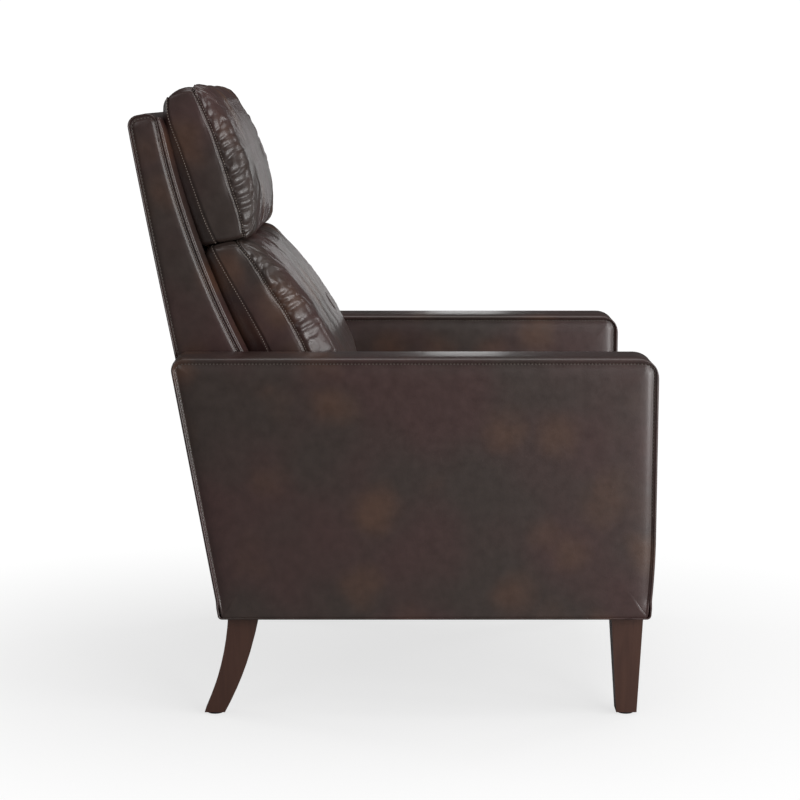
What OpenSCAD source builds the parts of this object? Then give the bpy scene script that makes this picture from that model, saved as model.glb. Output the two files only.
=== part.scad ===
// Pushback recliner: upholstered chair on wooden legs with a leaning back and a folding footrest.
// +X is the chair's front, +Y the sitter's left, +Z up. The origin is on the floor under its middle.

/* [Arms] */
// Width over the outside of both arms
overall_w = 720; // [700:1:800]
// Thickness of one arm
arm_w = 90; // [80:1:100]
// Height of the arm tops above the floor
arm_top_z = 606; // [590:1:640]
// Height of the underside of the arms above the floor
arm_bottom_z = 173; // [165:1:180]
// Front of the arms, ahead of the origin
arm_front_x = 431; // [425:1:460]
// Rear of the arms at their underside
arm_rear_x = -285; // [-300:1:-280]
// Lean of the arms' rear edge, in degrees
arm_rear_lean = 10; // [5:0.5:12]
// Rounding of the top front corner
arm_front_r = 38; // [25:1:60]
// Rounding of the top rear corner
arm_rear_r = 22; // [18:1:40]
// Rounding of the two lower corners
arm_low_r = 15; // [14.5:0.5:20]
// Thickness of the wrap-around band at its crown
band_t = 13; // [12:0.5:14]
// How far the band's seams lie below its crown
band_crown = 8; // [4:0.5:9]
// Thickness of the leather and padding on flat panels
panel_t = 8; // [4:0.5:10]
// Thickness of the arms' side boards
board_t = 12; // [9:1:18]

/* [Legs] */
// Width of a leg across the chair at its top
leg_w = 50; // [40:1:60]
// Width of a leg across the chair at its foot
leg_foot_w = 35; // [28:1:40]
// Depth of a front leg at its top
front_leg_top = 53; // [40:1:54]
// Depth of a front leg at its foot
front_leg_foot = 34; // [26:1:40]
// Depth of a rear leg at its top
rear_leg_top = 50; // [40:1:54]
// Depth of a rear leg at its foot
rear_leg_foot = 34; // [26:1:40]
// How far a rear leg's foot sweeps backwards
rear_leg_sweep = 50; // [20:1:60]
// Height of the glide under each leg
glide_h = 4; // [3:0.5:6]
// Radius of the hanger bolts that hold the legs
leg_bolt_r = 4; // [3:0.5:5]

/* [Back] */
// Lean of the back's rear face at rest, in degrees
back_lean = 11; // [8:0.5:12]
// Rear face of the back at its lower edge
back_x = -300.8; // [-304.8:0.5:-294.8]
// Height of the back's lower edge above the floor
back_z = 300; // [295:1:305]
// Length of the back shell along its rear face
back_len = 699; // [680:1:704]
// Depth of the back shell at its top
shell_top_d = 46; // [40:1:50]
// Depth that the shell gains at the headrest's lower edge
shell_flare = 16; // [14:0.5:18]
// Gap between the back and each arm
back_gap = 5; // [3:0.5:8]
// Thickness of the back frame's posts
post_t = 20; // [16:1:24]
// Height of the seam between headrest and lumbar cushion, along the back
split_v = 468; // [464:1:472]
// How far the headrest stands above the shell
headrest_rise = 35.5; // [25:0.5:38]
// How far the headrest's front swells past its seam
headrest_crown = 51; // [30:1:60]
// Depth from the back's rear face to the lumbar cushion's side seam
lumbar_depth = 222; // [212:1:226]
// How far the lumbar cushion's front swells past its seam
lumbar_crown = 63; // [40:1:70]
// Depth from the back's rear face to the headrest's side seam
headrest_depth = 148; // [142:1:152]
// Width over which a back cushion rolls into its side seam
back_roll = 45; // [30:1:60]

/* [Seat] */
// Height of the seat deck's top above the floor
deck_top_z = 430; // [428:0.5:434]
// Height of the seat cushion at its crown
cushion_h = 59; // [45:1:62]
// Front of the seat cushion
cushion_front_x = 418; // [405:1:420]
// Rear of the seat cushion
cushion_rear_x = -150; // [-152:1:-140]
// Gap between the seat cushion and each arm
cushion_gap = 4; // [3:0.5:8]
// Thickness of the seat frame's rails
rail_t = 20; // [16:1:24]
// Height of the seat frame's rails
rail_h = 80; // [74:1:84]

/* [Footrest] */
// Thickness of the footrest pad at its crown
pad_t = 55; // [45:1:57]
// Height of the footrest pad when it is folded away
pad_h = 224; // [200:1:226]
// Thickness of the footrest board
foot_board_t = 15; // [12:1:15]
// Distance between neighbouring pivots of the footrest links
link_l = 90; // [84:1:91]
// Swing of the footrest links, in degrees
foot_swing = 80; // [60:1:82]

/* [Mechanism] */
// Thickness of the steel plates and links
plate_t = 4; // [3.5:0.25:4.25]
// Gap between neighbouring layers of plates
layer_gap = 1.6; // [1.4:0.1:1.8]
// Length of the rocker links between pivots
rocker_l = 110; // [100:1:114]
// Lean of the rocker links at rest, in degrees
rocker_lean = 25; // [20:1:28]
// Radius of the pivot rivets
rivet_r = 5; // [4:0.25:5.5]
// Radial clearance of a pivot hole round its rivet
pivot_clear = 0.1; // [0.05:0.01:0.15]
// Width of the footrest links
link_w = 22; // [20:0.5:23]
// Width of the rocker links and seat plates
plate_w = 32; // [28:1:34]
// Diameter of the torque tubes between the rocker links
tube_d = 20; // [16:1:24]
// Diameter of the spring wire
wire_d = 4; // [3:0.5:5]

/* [Hidden] */
$fn = 48;

leather = [0.23, 0.17, 0.15];
wood = [0.27, 0.17, 0.15];
pine = [0.78, 0.64, 0.44];
steel = [0.35, 0.35, 0.37];
seam_gap = 0.3;
glue_gap = 0.2;

// Places across the chair
arm_in = overall_w / 2 - arm_w;
back_half = arm_in - back_gap;
cushion_half = arm_in - cushion_gap;
pitch = plate_t + layer_gap;
// Inner face of plate layer i, counted inwards from the arm
function layer_in(i) = arm_in - plate_t - i * pitch;
BASE_LAYER = 0;
SEAT_LAYER = 1;
ROCKER_LAYER = 2;
LIFT_LAYER = 3;
CROSS_LAYER = 4;
CARRIER_LAYER = 5;
BRACE_LAYER = 6;
frame_half = layer_in(BRACE_LAYER) - 4.4;
post_out = layer_in(LIFT_LAYER);
rivet_head_t = 1.2;
head_slip = 0.2;

// Plane helpers: [x, z] points seen from the sitter's right side
function unit(v) = v / norm(v);
function polar(a, l) = l * [cos(a), sin(a)];
function corner_centre(p, q, s, r) =
  let (a = unit(p - q), b = unit(s - q), half = acos(a * b) / 2)
  q + unit(a + b) * r / sin(half);
function corner_arc(p, q, s, r, shrink = 0, n = 7) =
  let (
    a = unit(p - q), b = unit(s - q), half = acos(a * b) / 2,
    c = corner_centre(p, q, s, r), d = r / tan(half),
    from = q + a * d - c, to = q + b * d - c,
    a0 = atan2(from[1], from[0]), a1 = atan2(to[1], to[0]),
    sweep = (a1 - a0 + 540) % 360 - 180
  )
  [for (i = [0:n]) c + polar(a0 + sweep * i / n, r - shrink)];
function rounded(pts, radii) =
  let (n = len(pts))
  [for (i = [0:n - 1]) each corner_arc(pts[(i + n - 1) % n], pts[i], pts[(i + 1) % n], radii[i])];
function blend_point(a, b, c, d, t) =
  0.5 * (2 * b + (c - a) * t + (2 * a - 5 * b + 4 * c - d) * t * t + (3 * b - a - 3 * c + d) * t * t * t);
function spline(pts, n) =
  let (last = len(pts) - 1)
  concat(
    [
      for (i = [0:last - 1], j = [0:n - 1])
        blend_point(pts[max(i - 1, 0)], pts[i], pts[i + 1], pts[min(i + 2, last)], j / n)
    ],
    [pts[last]]
  );
function turned(list) = [for (i = [len(list) - 1:-1:0]) list[i]];

// Extrudes an [x, z] outline from y0 to y1
module slab(y0, y1) {
  translate([0, y1, 0])
    rotate([90, 0, 0])
      linear_extrude(y1 - y0)
        children();
}

// A straight link outline with round ends, its flanks a little inside the ends' full width
flank_step = 0.4;
module bar(p, q, w) {
  along = q - p;
  flank = w - flank_step;
  translate(p)
    circle(d = w);
  translate(q)
    circle(d = w);
  translate(p)
    rotate(atan2(along[1], along[0]))
      translate([0, -flank / 2])
        square([norm(along), flank]);
}

module box(low, high) {
  translate(low)
    cube(high - low);
}

module rod(p, y0, y1, r) {
  translate([p[0], y1, p[1]])
    rotate([90, 0, 0])
      cylinder(h = y1 - y0, r = r);
}

// The chair's left side is modelled, the right side is its mirror image
module left_or_right(left) {
  if (left)
    children();
  else
    mirror([0, 1, 0])
      children();
}

module both() {
  children();
  mirror([0, 1, 0])
    children();
}

// A rivet through plate layers i (outer) to j (inner), at point p
module rivet(p, i, j) {
  outer = layer_in(i) + plate_t;
  inner = layer_in(j) - head_slip;
  rod(p, inner, outer + head_slip, rivet_r);
  rod(p, inner - rivet_head_t, inner, rivet_r + 3);
  rod(p, outer + head_slip, outer + head_slip + rivet_head_t, rivet_r + 3);
}

module pivot_hole(p, i) {
  rod(p, layer_in(i) - 1, layer_in(i) + plate_t + 1, rivet_r + pivot_clear);
}

module plate(i) {
  slab(layer_in(i), layer_in(i) + plate_t)
    children();
}

// Arms
tan_lean = tan(arm_rear_lean);
function arm_corners(d) =
  let (
    z0 = arm_bottom_z + d, z1 = arm_top_z - d,
    shift = d / cos(arm_rear_lean) + arm_rear_x
  )
  [
    [shift - (z0 - arm_bottom_z) * tan_lean, z0],
    [arm_front_x - d, z0],
    [arm_front_x - d, z1],
    [shift - (z1 - arm_bottom_z) * tan_lean, z1]
  ];
arm_radii = [arm_low_r, arm_low_r, arm_front_r, arm_rear_r];
function arm_ring(d) =
  let (c = arm_corners(0), order = [0, 3, 2, 1])
  [
    for (k = order)
      each turned(corner_arc(c[(k + 3) % 4], c[k], c[(k + 1) % 4], arm_radii[k], d))
  ];
arm_inset = band_t + seam_gap;
arm_low_rear = corner_centre(arm_corners(0)[3], arm_corners(0)[0], arm_corners(0)[1], arm_low_r)[0];
arm_low_front = corner_centre(arm_corners(0)[0], arm_corners(0)[1], arm_corners(0)[2], arm_low_r)[0];
band_steps = [-1, -0.94, -0.8, -0.5, 0, 0.5, 0.8, 0.94, 1];
rail_low_t = arm_inset;

module arm_outline(d) {
  polygon(rounded(arm_corners(d), [for (r = arm_radii) max(r - d, 2)]));
}

module arm_band(left) {
  mid = arm_in + arm_w / 2;
  rows = concat(
    [for (t = band_steps) [mid + t * arm_w / 2, band_crown * pow(abs(t), 5)]],
    [[mid + arm_w / 2, band_t], [mid - arm_w / 2, band_t]]
  );
  n = len(rows);
  rings = [for (row = rows) arm_ring(row[1])];
  count = len(rings[0]);
  points = [for (i = [0:count - 1], k = [0:n - 1]) [rings[k][i][0], rows[k][0], rings[k][i][1]]];
  faces = concat(
    [
      for (i = [0:count - 2], k = [0:n - 1])
        let (a = i * n + k, b = i * n + (k + 1) % n, c = a + n, d = b + n)
        each [[a, c, b], [b, c, d]]
    ],
    [for (k = [1:n - 2]) [0, k, k + 1]],
    [for (k = [1:n - 2]) [(count - 1) * n, (count - 1) * n + k + 1, (count - 1) * n + k]]
  );
  color(leather)
    left_or_right(left)
      polyhedron(points, faces);
}

module arm_outer_panel(left) {
  color(leather)
    left_or_right(left)
      slab(overall_w / 2 - panel_t, overall_w / 2)
        arm_outline(arm_inset);
}

module arm_inner_panel(left) {
  color(leather)
    left_or_right(left)
      slab(arm_in, arm_in + panel_t)
        arm_outline(arm_inset);
}

arm_core_in = arm_in + panel_t;
arm_core_out = overall_w / 2 - panel_t;
post_in = arm_core_in + board_t + glue_gap;
post_end = arm_core_out - board_t - glue_gap;
low_rail_h = 38;
front_post_d = 30;
rear_post_d = 34;

module arm_frame(left) {
  frame_d = arm_inset + glue_gap;
  c = arm_corners(frame_d);
  low = c[0][1] + low_rail_h;
  high = c[3][1] - low_rail_h;
  color(pine)
    left_or_right(left) {
      slab(arm_core_in, arm_core_in + board_t)
        arm_outline(frame_d);
      slab(arm_core_out - board_t, arm_core_out)
        arm_outline(frame_d);
      difference() {
        union() {
          box(
            [arm_low_rear + glue_gap, arm_in, arm_bottom_z],
            [arm_low_front - glue_gap, overall_w / 2, arm_bottom_z + rail_low_t]
          );
          box(
            [arm_low_rear + glue_gap, post_in, arm_bottom_z],
            [arm_low_front - glue_gap, post_end, low]
          );
        }
        for (x = [front_leg_x, rear_leg_x])
          rod_up(x, arm_bottom_z - 1, low + 1, leg_bolt_r);
      }
      box([c[3][0] + arm_rear_r, post_in, high], [c[2][0] - arm_front_r, post_end, c[3][1]]);
      box(
        [c[2][0] - front_post_d, post_in, low + glue_gap],
        [c[2][0], post_end, high - glue_gap]
      );
      slab(post_in, post_end)
        intersection() {
          polygon([c[0], c[0] + [rear_post_d, 0], c[3] + [rear_post_d, 0], c[3]]);
          translate([c[3][0] - 10, low + glue_gap])
            square([200, high - low - 2 * glue_gap]);
        }
    }
}

// Legs
leg_y = arm_in + arm_w / 2;
front_leg_x = arm_low_front - glue_gap - front_leg_top / 2 - 1;
rear_leg_x = arm_low_rear + glue_gap + rear_leg_top / 2 + 1;
leg_top_z = arm_bottom_z;
bolt_up = 50;
bolt_down = 60;

module rod_up(x, z0, z1, r) {
  translate([x, leg_y, z0])
    cylinder(h = z1 - z0, r = r);
}

module leg_front_view() {
  polygon([
    [leg_y - leg_foot_w / 2, glide_h], [leg_y + leg_foot_w / 2, glide_h],
    [leg_y + leg_w / 2, leg_top_z], [leg_y - leg_w / 2, leg_top_z]
  ]);
}

module leg(outline, x) {
  difference() {
    intersection() {
      slab(leg_y - leg_w, leg_y + leg_w)
        polygon(outline);
      translate([-overall_w, 0, 0])
        rotate([90, 0, 90])
          linear_extrude(2 * overall_w)
            leg_front_view();
    }
    rod_up(x, leg_top_z - bolt_down, leg_top_z + 1, leg_bolt_r);
  }
}

// A front leg tapers mostly from its rear side
front_foot_x = front_leg_x + front_leg_top / 2 - (front_leg_top - front_leg_foot) * 0.4;

module front_leg(left) {
  inner = front_leg_x - front_leg_top / 2;
  color(wood)
    left_or_right(left)
      leg(
        [
          [front_foot_x - front_leg_foot, glide_h], [front_foot_x, glide_h],
          [inner + front_leg_top, leg_top_z], [inner, leg_top_z]
        ],
        front_leg_x
      );
}

rear_leg_steps = 8;
function rear_leg_mid(t) = rear_leg_x - rear_leg_sweep * (0.35 * t + 0.65 * t * t);
function rear_leg_depth(t) = rear_leg_top + (rear_leg_foot - rear_leg_top) * t;
function rear_leg_side(s) =
  [
    for (i = [0:rear_leg_steps])
      let (t = i / rear_leg_steps)
      [rear_leg_mid(t) + s * rear_leg_depth(t) / 2, leg_top_z + (glide_h - leg_top_z) * t]
  ];

module rear_leg(left) {
  color(wood)
    left_or_right(left)
      leg(concat(rear_leg_side(-1), turned(rear_leg_side(1))), rear_leg_x);
}

glide_r = 13;
module leg_glides() {
  color([0.15, 0.15, 0.15])
    both()
      for (x = [front_foot_x - front_leg_foot / 2, rear_leg_mid(1)])
        rod_up(x, 0, glide_h, glide_r);
}

module leg_bolts() {
  color(steel)
    both()
      for (x = [front_leg_x, rear_leg_x])
        rod_up(x, leg_top_z - bolt_down + 5, leg_top_z + bolt_up, leg_bolt_r - 0.05);
}

// Base rails
rail_base_t = 22;
rail_low_z = arm_bottom_z + 5;
front_rail_h = 60;
rear_rail_h = 77;
front_rail_x = 262;
rear_rail_x = arm_rear_x + 1;

module base_rail(x, h) {
  color(pine)
    box([x, -arm_in, rail_low_z], [x + rail_base_t, arm_in, rail_low_z + h]);
}

module front_rail() {
  base_rail(front_rail_x, front_rail_h);
}

module rear_rail() {
  base_rail(rear_rail_x, rear_rail_h);
}

block_w = 40;
block_gap = 3;
module corner_blocks() {
  z0 = rail_low_z;
  z1 = base_low_z - block_gap;
  color(pine)
    both() {
      box(
        [rear_rail_x + rail_base_t, arm_in - block_w, z0],
        [rear_rail_x + rail_base_t + block_w, arm_in, z1]
      );
      box([front_rail_x - block_w, arm_in - block_w, z0], [front_rail_x, arm_in, z1]);
    }
}

// Mechanism places at rest, hung from the height of the seat deck
lift_pivot = [330, deck_top_z - 65];
base_low_z = 200;
rocker_foot_z = deck_top_z - 185;
front_foot = [230, rocker_foot_z];
rear_foot = [-90, rocker_foot_z];
rocker_step = rocker_l * [-sin(rocker_lean), cos(rocker_lean)];
front_head = front_foot + rocker_step;
rear_head = rear_foot + rocker_step;
back_pivot = [-215, deck_top_z - 35];
recline = 30;
base_bar_w = 40;
base_bar_z = base_low_z + base_bar_w / 2;

// Angles of the footrest links when they are folded, in degrees
fold_mid = -8;
lift_a = fold_mid - foot_swing / 2 - 47;
cross_a = fold_mid + foot_swing / 2 + 47;
fold_knee = lift_pivot + polar(lift_a, link_l);
lift_end = fold_knee + polar(lift_a, link_l);
cross_end = fold_knee + polar(cross_a, link_l);
carrier_knee = cross_end + polar(lift_a, link_l);
carrier_end = carrier_knee + polar(lift_a, 0.8 * link_l);

// A pin on the lift link's tail runs in a cam slot of the front rocker, which so unfolds the footrest
tail_l = 48;
tail_a = 140;
function tail_pin(t) = lift_pivot + polar(tail_a + foot_swing * t, tail_l);
function in_rocker(p, t) =
  let (d = p - front_head, a = recline * t)
  front_head + [d[0] * cos(a) - d[1] * sin(a), d[0] * sin(a) + d[1] * cos(a)];
cam_path = [for (i = [0:12]) in_rocker(tail_pin(i / 12), i / 12)];
cam_clear = 0.3;

module mechanism_base(left) {
  color(steel)
    left_or_right(left)
      difference() {
        plate(BASE_LAYER) {
          bar(
            [rear_rail_x + rail_base_t + base_bar_w / 2 + glue_gap, base_bar_z],
            [front_rail_x - base_bar_w / 2 - glue_gap, base_bar_z], base_bar_w
          );
          bar([front_foot[0], base_bar_z], front_foot, plate_w);
          bar([rear_foot[0], base_bar_z], rear_foot, plate_w);
        }
        for (p = [front_foot, rear_foot])
          rod(p, layer_in(BASE_LAYER) - 1, arm_in + 1, rivet_r - 0.05);
        for (p = screw_places)
          rod(p, layer_in(BASE_LAYER) - 1, arm_in + 1, screw_r);
      }
}

screw_r = 3;
screw_places = [for (x = [rear_rail_x + 60, 0, 60, front_rail_x - 80]) [x, base_bar_z]];

module mechanism_screws() {
  color(steel)
    both()
      for (p = screw_places) {
        rod(p, layer_in(BASE_LAYER) - 1, arm_in, screw_r);
        rod(p, layer_in(BASE_LAYER) - 1.4, layer_in(BASE_LAYER), screw_r + 2.5);
      }
}

// Rivets that are fixed in the base plates and flush with the arm panels
module base_rivets() {
  inner = layer_in(ROCKER_LAYER) - head_slip;
  color(steel)
    both()
      for (p = [front_foot, rear_foot]) {
        rod(p, inner, arm_in, rivet_r);
        rod(p, inner - rivet_head_t, inner, rivet_r + 3);
      }
}

module rocker(foot, left) {
  head = foot + rocker_step;
  color(steel)
    left_or_right(left)
      difference() {
        plate(ROCKER_LAYER) {
          bar(foot, head, plate_w);
          if (foot == front_foot) {
            bar(head, cam_path[0], 2 * (rivet_r + 7));
            bar(head, cam_path[12], 2 * (rivet_r + 7));
          }
        }
        pivot_hole(foot, ROCKER_LAYER);
        pivot_hole(head, ROCKER_LAYER);
        if (foot == front_foot)
          slab(layer_in(ROCKER_LAYER) - 1, layer_in(ROCKER_LAYER) + plate_t + 1)
            for (i = [0:11])
              bar(cam_path[i], cam_path[i + 1], 2 * (rivet_r + cam_clear));
      }
}

module torque_tube(foot) {
  reach = layer_in(ROCKER_LAYER);
  mid = foot + rocker_step * 0.45;
  color(steel)
    difference() {
      rod(mid, -reach, reach, tube_d / 2);
      rod(mid, -reach - 1, reach + 1, tube_d / 2 - 2);
    }
}

module seat_plate(left) {
  color(steel)
    left_or_right(left)
      difference() {
        plate(SEAT_LAYER) {
          bar(back_pivot, rear_head, plate_w);
          bar(rear_head, front_head, plate_w);
          bar(front_head, lift_pivot, plate_w);
          bar(front_head, spacer_places[2], plate_w);
        }
        for (p = [back_pivot, rear_head, front_head, lift_pivot])
          rod(p, layer_in(SEAT_LAYER) - 1, layer_in(SEAT_LAYER) + plate_t + 1, rivet_r - 0.05);
        for (p = spacer_places)
          rod(p, layer_in(SEAT_LAYER) - 1, layer_in(SEAT_LAYER) + plate_t + 1, screw_r + 0.05);
      }
}

module seat_rivets() {
  color(steel)
    both() {
      for (p = [rear_head, front_head])
        rivet(p, SEAT_LAYER, ROCKER_LAYER);
      for (p = [back_pivot, lift_pivot])
        rivet(p, SEAT_LAYER, LIFT_LAYER);
    }
}

// Sleeves and bolts that carry the seat frame on the seat plates
spacer_places = [
  [-60, rear_head[1] + 8], [20, rear_head[1] + 8], front_head + [56, 55]
];

module seat_spacers() {
  color(steel)
    both()
      for (p = spacer_places) {
        rod(p, frame_half, layer_in(SEAT_LAYER), 8);
        rod(p, frame_half - rail_t, layer_in(SEAT_LAYER) + plate_t + 0.4, screw_r);
      }
}

// Seat
seat_front_x = lift_pivot[0] - 2;
seat_rear_x = cushion_rear_x;
deck_t = 6;
rail_top = deck_top_z - deck_t;
deck_front_x = cushion_front_x - 12;
spring_z = rail_top - wire_d - 1;

module seat_frame() {
  low = rail_top - rail_h;
  color(pine)
    difference() {
      union() {
        both()
          box([seat_rear_x, frame_half - rail_t, low], [seat_front_x, frame_half, rail_top]);
        for (x = [seat_rear_x, seat_front_x - rail_t])
          box([x, -frame_half + rail_t, low], [x + rail_t, frame_half - rail_t, rail_top]);
      }
      both()
        for (p = spacer_places)
          rod(p, frame_half - rail_t - 1, frame_half + 1, screw_r + 0.05);
    }
}

// A flat wave of spring wire, running along X from x0 to x1 with its middle at y
module zigzag(x0, x1, y, half, wave) {
  n = floor((x1 - x0) / wave) * 8;
  run = x1 - x0;
  turns = n / 8 * 180;
  line = [for (i = [0:n]) [x0 + run * i / n, y + half * sin(turns * i / n)]];
  slope = [for (i = [0:n]) unit([run, half * cos(turns * i / n) * turns * PI / 180])];
  side = [for (d = slope) [-d[1], d[0]] * wire_d / 2];
  polygon(concat(
    [for (i = [0:n]) line[i] - side[i]],
    [for (i = [n:-1:0]) line[i] + side[i]]
  ));
}

spring_wave = 42;
spring_half = 34;
spring_slip = 3;
// Middles of the springs on one side of the chair, which share out a clear width
spring_count = 2;
function spring_ys(clear) = [for (i = [0:spring_count - 1]) clear * (i + 0.5) / spring_count];
seat_spring_ys = spring_ys(frame_half - rail_t);
seat_spring_rear = seat_rear_x + rail_t + spring_slip;
seat_spring_front = seat_front_x - rail_t - spring_slip;

module seat_springs() {
  color(steel)
    both()
      for (y = seat_spring_ys)
        translate([0, 0, spring_z])
          linear_extrude(wire_d)
            zigzag(seat_spring_rear, seat_spring_front, y, spring_half, spring_wave);
}

clip_t = 1;
clip_half = 9;
clip_lip = 8;
clip_h = 10;

// A clip is a plate on the rail's inner face with a lip that carries the spring's end
module seat_spring_clips() {
  lip_z = spring_z - 0.2;
  rear = seat_rear_x + rail_t;
  front = seat_front_x - rail_t;
  color(steel)
    both()
      for (y = seat_spring_ys) {
        box([rear, y - clip_half, lip_z - clip_h], [rear + clip_t - 0.2, y + clip_half, lip_z]);
        box([rear, y - clip_half, lip_z - clip_t], [rear + clip_lip, y + clip_half, lip_z]);
        box([front - clip_t + 0.2, y - clip_half, lip_z - clip_h], [front, y + clip_half, lip_z]);
        box([front - clip_lip, y - clip_half, lip_z - clip_t], [front, y + clip_half, lip_z]);
      }
}

module seat_deck() {
  color([0.2, 0.2, 0.2])
    box([seat_rear_x, -cushion_half + 2, rail_top], [deck_front_x, cushion_half - 2, deck_top_z]);
}

// A boxed cushion lofted across the chair: its back outline stays the same, its front swells from
// the seam outline at each side to the crown outline between the rolls
roll_steps = [0, 12, 27, 45, 65, 90];
function cushion_stations(half, roll, shoulder) =
  let (
    right = [for (a = roll_steps) [-(half - roll) - roll * cos(a), shoulder * sin(a)]],
    mid = [[-half * 0.4, 1 - (1 - shoulder) * 0.3]]
  )
  concat(right, mid, [[0, 1]], [for (s = turned(concat(right, mid))) [-s[0], s[1]]]);

module cushion(back, seam, crown, half, roll, shoulder) {
  n = len(back);
  stations = cushion_stations(half, roll, shoulder);
  count = len(stations);
  m = 2 * n;
  points = [
    for (s = stations)
      let (front = [for (i = [0:n - 1]) seam[i] + s[1] * (crown[i] - seam[i])])
      each [for (p = concat(back, turned(front))) [p[0], s[0], p[1]]]
  ];
  faces = concat(
    [
      for (i = [0:count - 2], k = [0:m - 1])
        let (a = i * m + k, b = i * m + (k + 1) % m, c = a + m, d = b + m)
        each [[a, b, c], [b, d, c]]
    ],
    [for (k = [0:n - 2]) each [[k, m - 1 - k, m - 2 - k], [k, m - 2 - k, k + 1]]],
    [
      for (k = [0:n - 2])
        let (e = (count - 1) * m)
        each [[e + k, e + m - 2 - k, e + m - 1 - k], [e + k, e + k + 1, e + m - 2 - k]]
    ]
  );
  polyhedron(points, faces);
}

cushion_points = 24;
function even(p, q, n) = [for (i = [0:n]) p + (q - p) * i / n];
// Points of an outline given as shares of a cushion's width and height
function shaped(shares, low, size) = [for (s = shares) low + [s[0] * size[0], s[1] * size[1]]];
seat_seam = [
  [0, 0.068], [0.004, 0.307], [0.088, 0.511], [0.263, 0.613], [0.559, 0.647],
  [0.824, 0.647], [0.947, 0.579], [0.982, 0.307], [0.975, 0.051]
];
seat_crown = [
  [0, 0.068], [0.002, 0.341], [0.088, 0.659], [0.263, 0.881], [0.559, 1],
  [0.824, 1], [0.933, 0.915], [1, 0.409], [0.979, 0.051]
];
seat_roll = 40;

module seat_cushion() {
  low = [cushion_rear_x + 0.5, deck_top_z + seam_gap];
  size = [cushion_front_x - low[0], cushion_h - seam_gap];
  color(leather)
    cushion(
      even([low[0] + 2, low[1]], [deck_front_x, low[1]], cushion_points),
      spline(shaped(seat_seam, low, size), cushion_points / 8),
      spline(shaped(seat_crown, low, size), cushion_points / 8),
      cushion_half, seat_roll, 0.85
    );
}

// Back: [u, v] is measured forwards from the rear face and up along it
back_origin = [back_x, back_z];
back_up = [-sin(back_lean), cos(back_lean)];
back_out = [cos(back_lean), sin(back_lean)];
function back_point(p) = back_origin + p[0] * back_out + p[1] * back_up;
shell_r = 18;
top_v = back_len - shell_r;
flare_k = shell_flare / pow(top_v - split_v, 2);
function shell_u(v) = shell_top_d + flare_k * pow(max(top_v - v, 0), 2);
cover_low = 150;
cover_t = 8;
function shell_front(v0, v1, du, n = 10) =
  [for (i = [0:n]) let (v = v0 + (v1 - v0) * i / n) [shell_u(v) + du, v]];
function shell_top(d) = [for (a = [0:15:90]) [shell_top_d - shell_r, top_v] + polar(a, shell_r - d)];
function shell_rear_top(d) = [for (a = [90:15:180]) [shell_r, top_v] + polar(a, shell_r - d)];
function in_chair(pts) = [for (p = pts) back_point(p)];
post_low = 40;

module back_cover() {
  ahead = 2 * lumbar_depth;
  color(leather)
    difference() {
      slab(-back_half, back_half)
        polygon(in_chair(concat(
          [[cover_t + seam_gap, cover_low]], shell_front(cover_low, top_v - 1, 0),
          shell_top(0), shell_rear_top(0), [[0, top_v - 30], [cover_t + seam_gap, top_v - 30]]
        )));
      slab(-back_half + cover_t, back_half - cover_t)
        polygon(in_chair(concat(
          [[cover_t, cover_low - 20], [ahead, cover_low - 20], [ahead, top_v - 2]],
          [[shell_top_d - cover_t, top_v]], shell_top(cover_t),
          shell_rear_top(cover_t), [[cover_t, top_v - 40]]
        )));
    }
}

module back_panel() {
  color(leather)
    slab(-back_half, back_half)
      polygon(in_chair([
        [0, 0], [cover_t, 0], [cover_t, top_v - 31], [0, top_v - 31]
      ]));
}

frame_u = cover_t + seam_gap;
frame_top = back_len - cover_t - shell_r;

module back_rail(v, u) {
  slab(-post_out + post_t + glue_gap, post_out - post_t - glue_gap)
    polygon(in_chair([[u[0], v[0]], [u[1], v[0]], [u[1], v[1]], [u[0], v[1]]]));
}

back_bolt_places = in_chair([[75, 190], [62, 250]]);
back_rail_h = 50;
back_rail_u = [frame_u, frame_u + 22];
low_rail_v = [160, 200];
low_rail_u = [70, 95];
mid_rail_v = split_v - 38 - back_rail_h;
top_rail_v = [frame_top - 40, frame_top];
top_rail_u = [frame_u, frame_u + 24];

module back_frame() {
  post = concat(
    [[frame_u, post_low], [shell_u(cover_low) - 30, post_low], [shell_u(cover_low) - 30, cover_low - 30]],
    shell_front(cover_low, frame_top, -0.5), [[frame_u, frame_top]]
  );
  color(pine) {
    both()
      difference() {
        slab(post_out - post_t, post_out)
          polygon(in_chair(post));
        rod(back_pivot, post_out - 3, post_out + 1, rivet_r + 4);
        for (p = back_bolt_places)
          rod(p, post_out - post_t - 1, post_out + 1, screw_r + 0.05);
      }
    back_rail(low_rail_v, low_rail_u);
    for (v = [post_low + 5, mid_rail_v])
      back_rail([v, v + back_rail_h], back_rail_u);
    back_rail(top_rail_v, top_rail_u);
  }
}

module back_bracket(left) {
  color(steel)
    left_or_right(left)
      difference() {
        plate(LIFT_LAYER) {
          bar(back_pivot, back_bolt_places[0], plate_w);
          bar(back_bolt_places[0], back_bolt_places[1], plate_w);
        }
        pivot_hole(back_pivot, LIFT_LAYER);
        for (p = back_bolt_places)
          rod(p, post_out - 1, post_out + plate_t + 1, screw_r + 0.05);
      }
}

// Springs hang between the top rail and the low rail, just behind the cushions
spring_low = [low_rail_u[0] + 12, low_rail_v[1] + spring_slip];
spring_high = [frame_u + 14, top_rail_v[0] - spring_slip];
spring_run = spring_high - spring_low;
back_spring_ys = spring_ys(post_out - post_t);

module along_back() {
  foot = back_point(spring_low);
  tilt = back_lean + atan2(-spring_run[0], spring_run[1]);
  translate([foot[0], 0, foot[1]])
    rotate([0, -90 - tilt, 0])
      mirror([0, 0, 1])
        children();
}

module back_springs() {
  color(steel)
    both()
      for (y = back_spring_ys)
        along_back()
          linear_extrude(wire_d)
            zigzag(0, norm(spring_run), y, spring_half, spring_wave);
}

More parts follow.
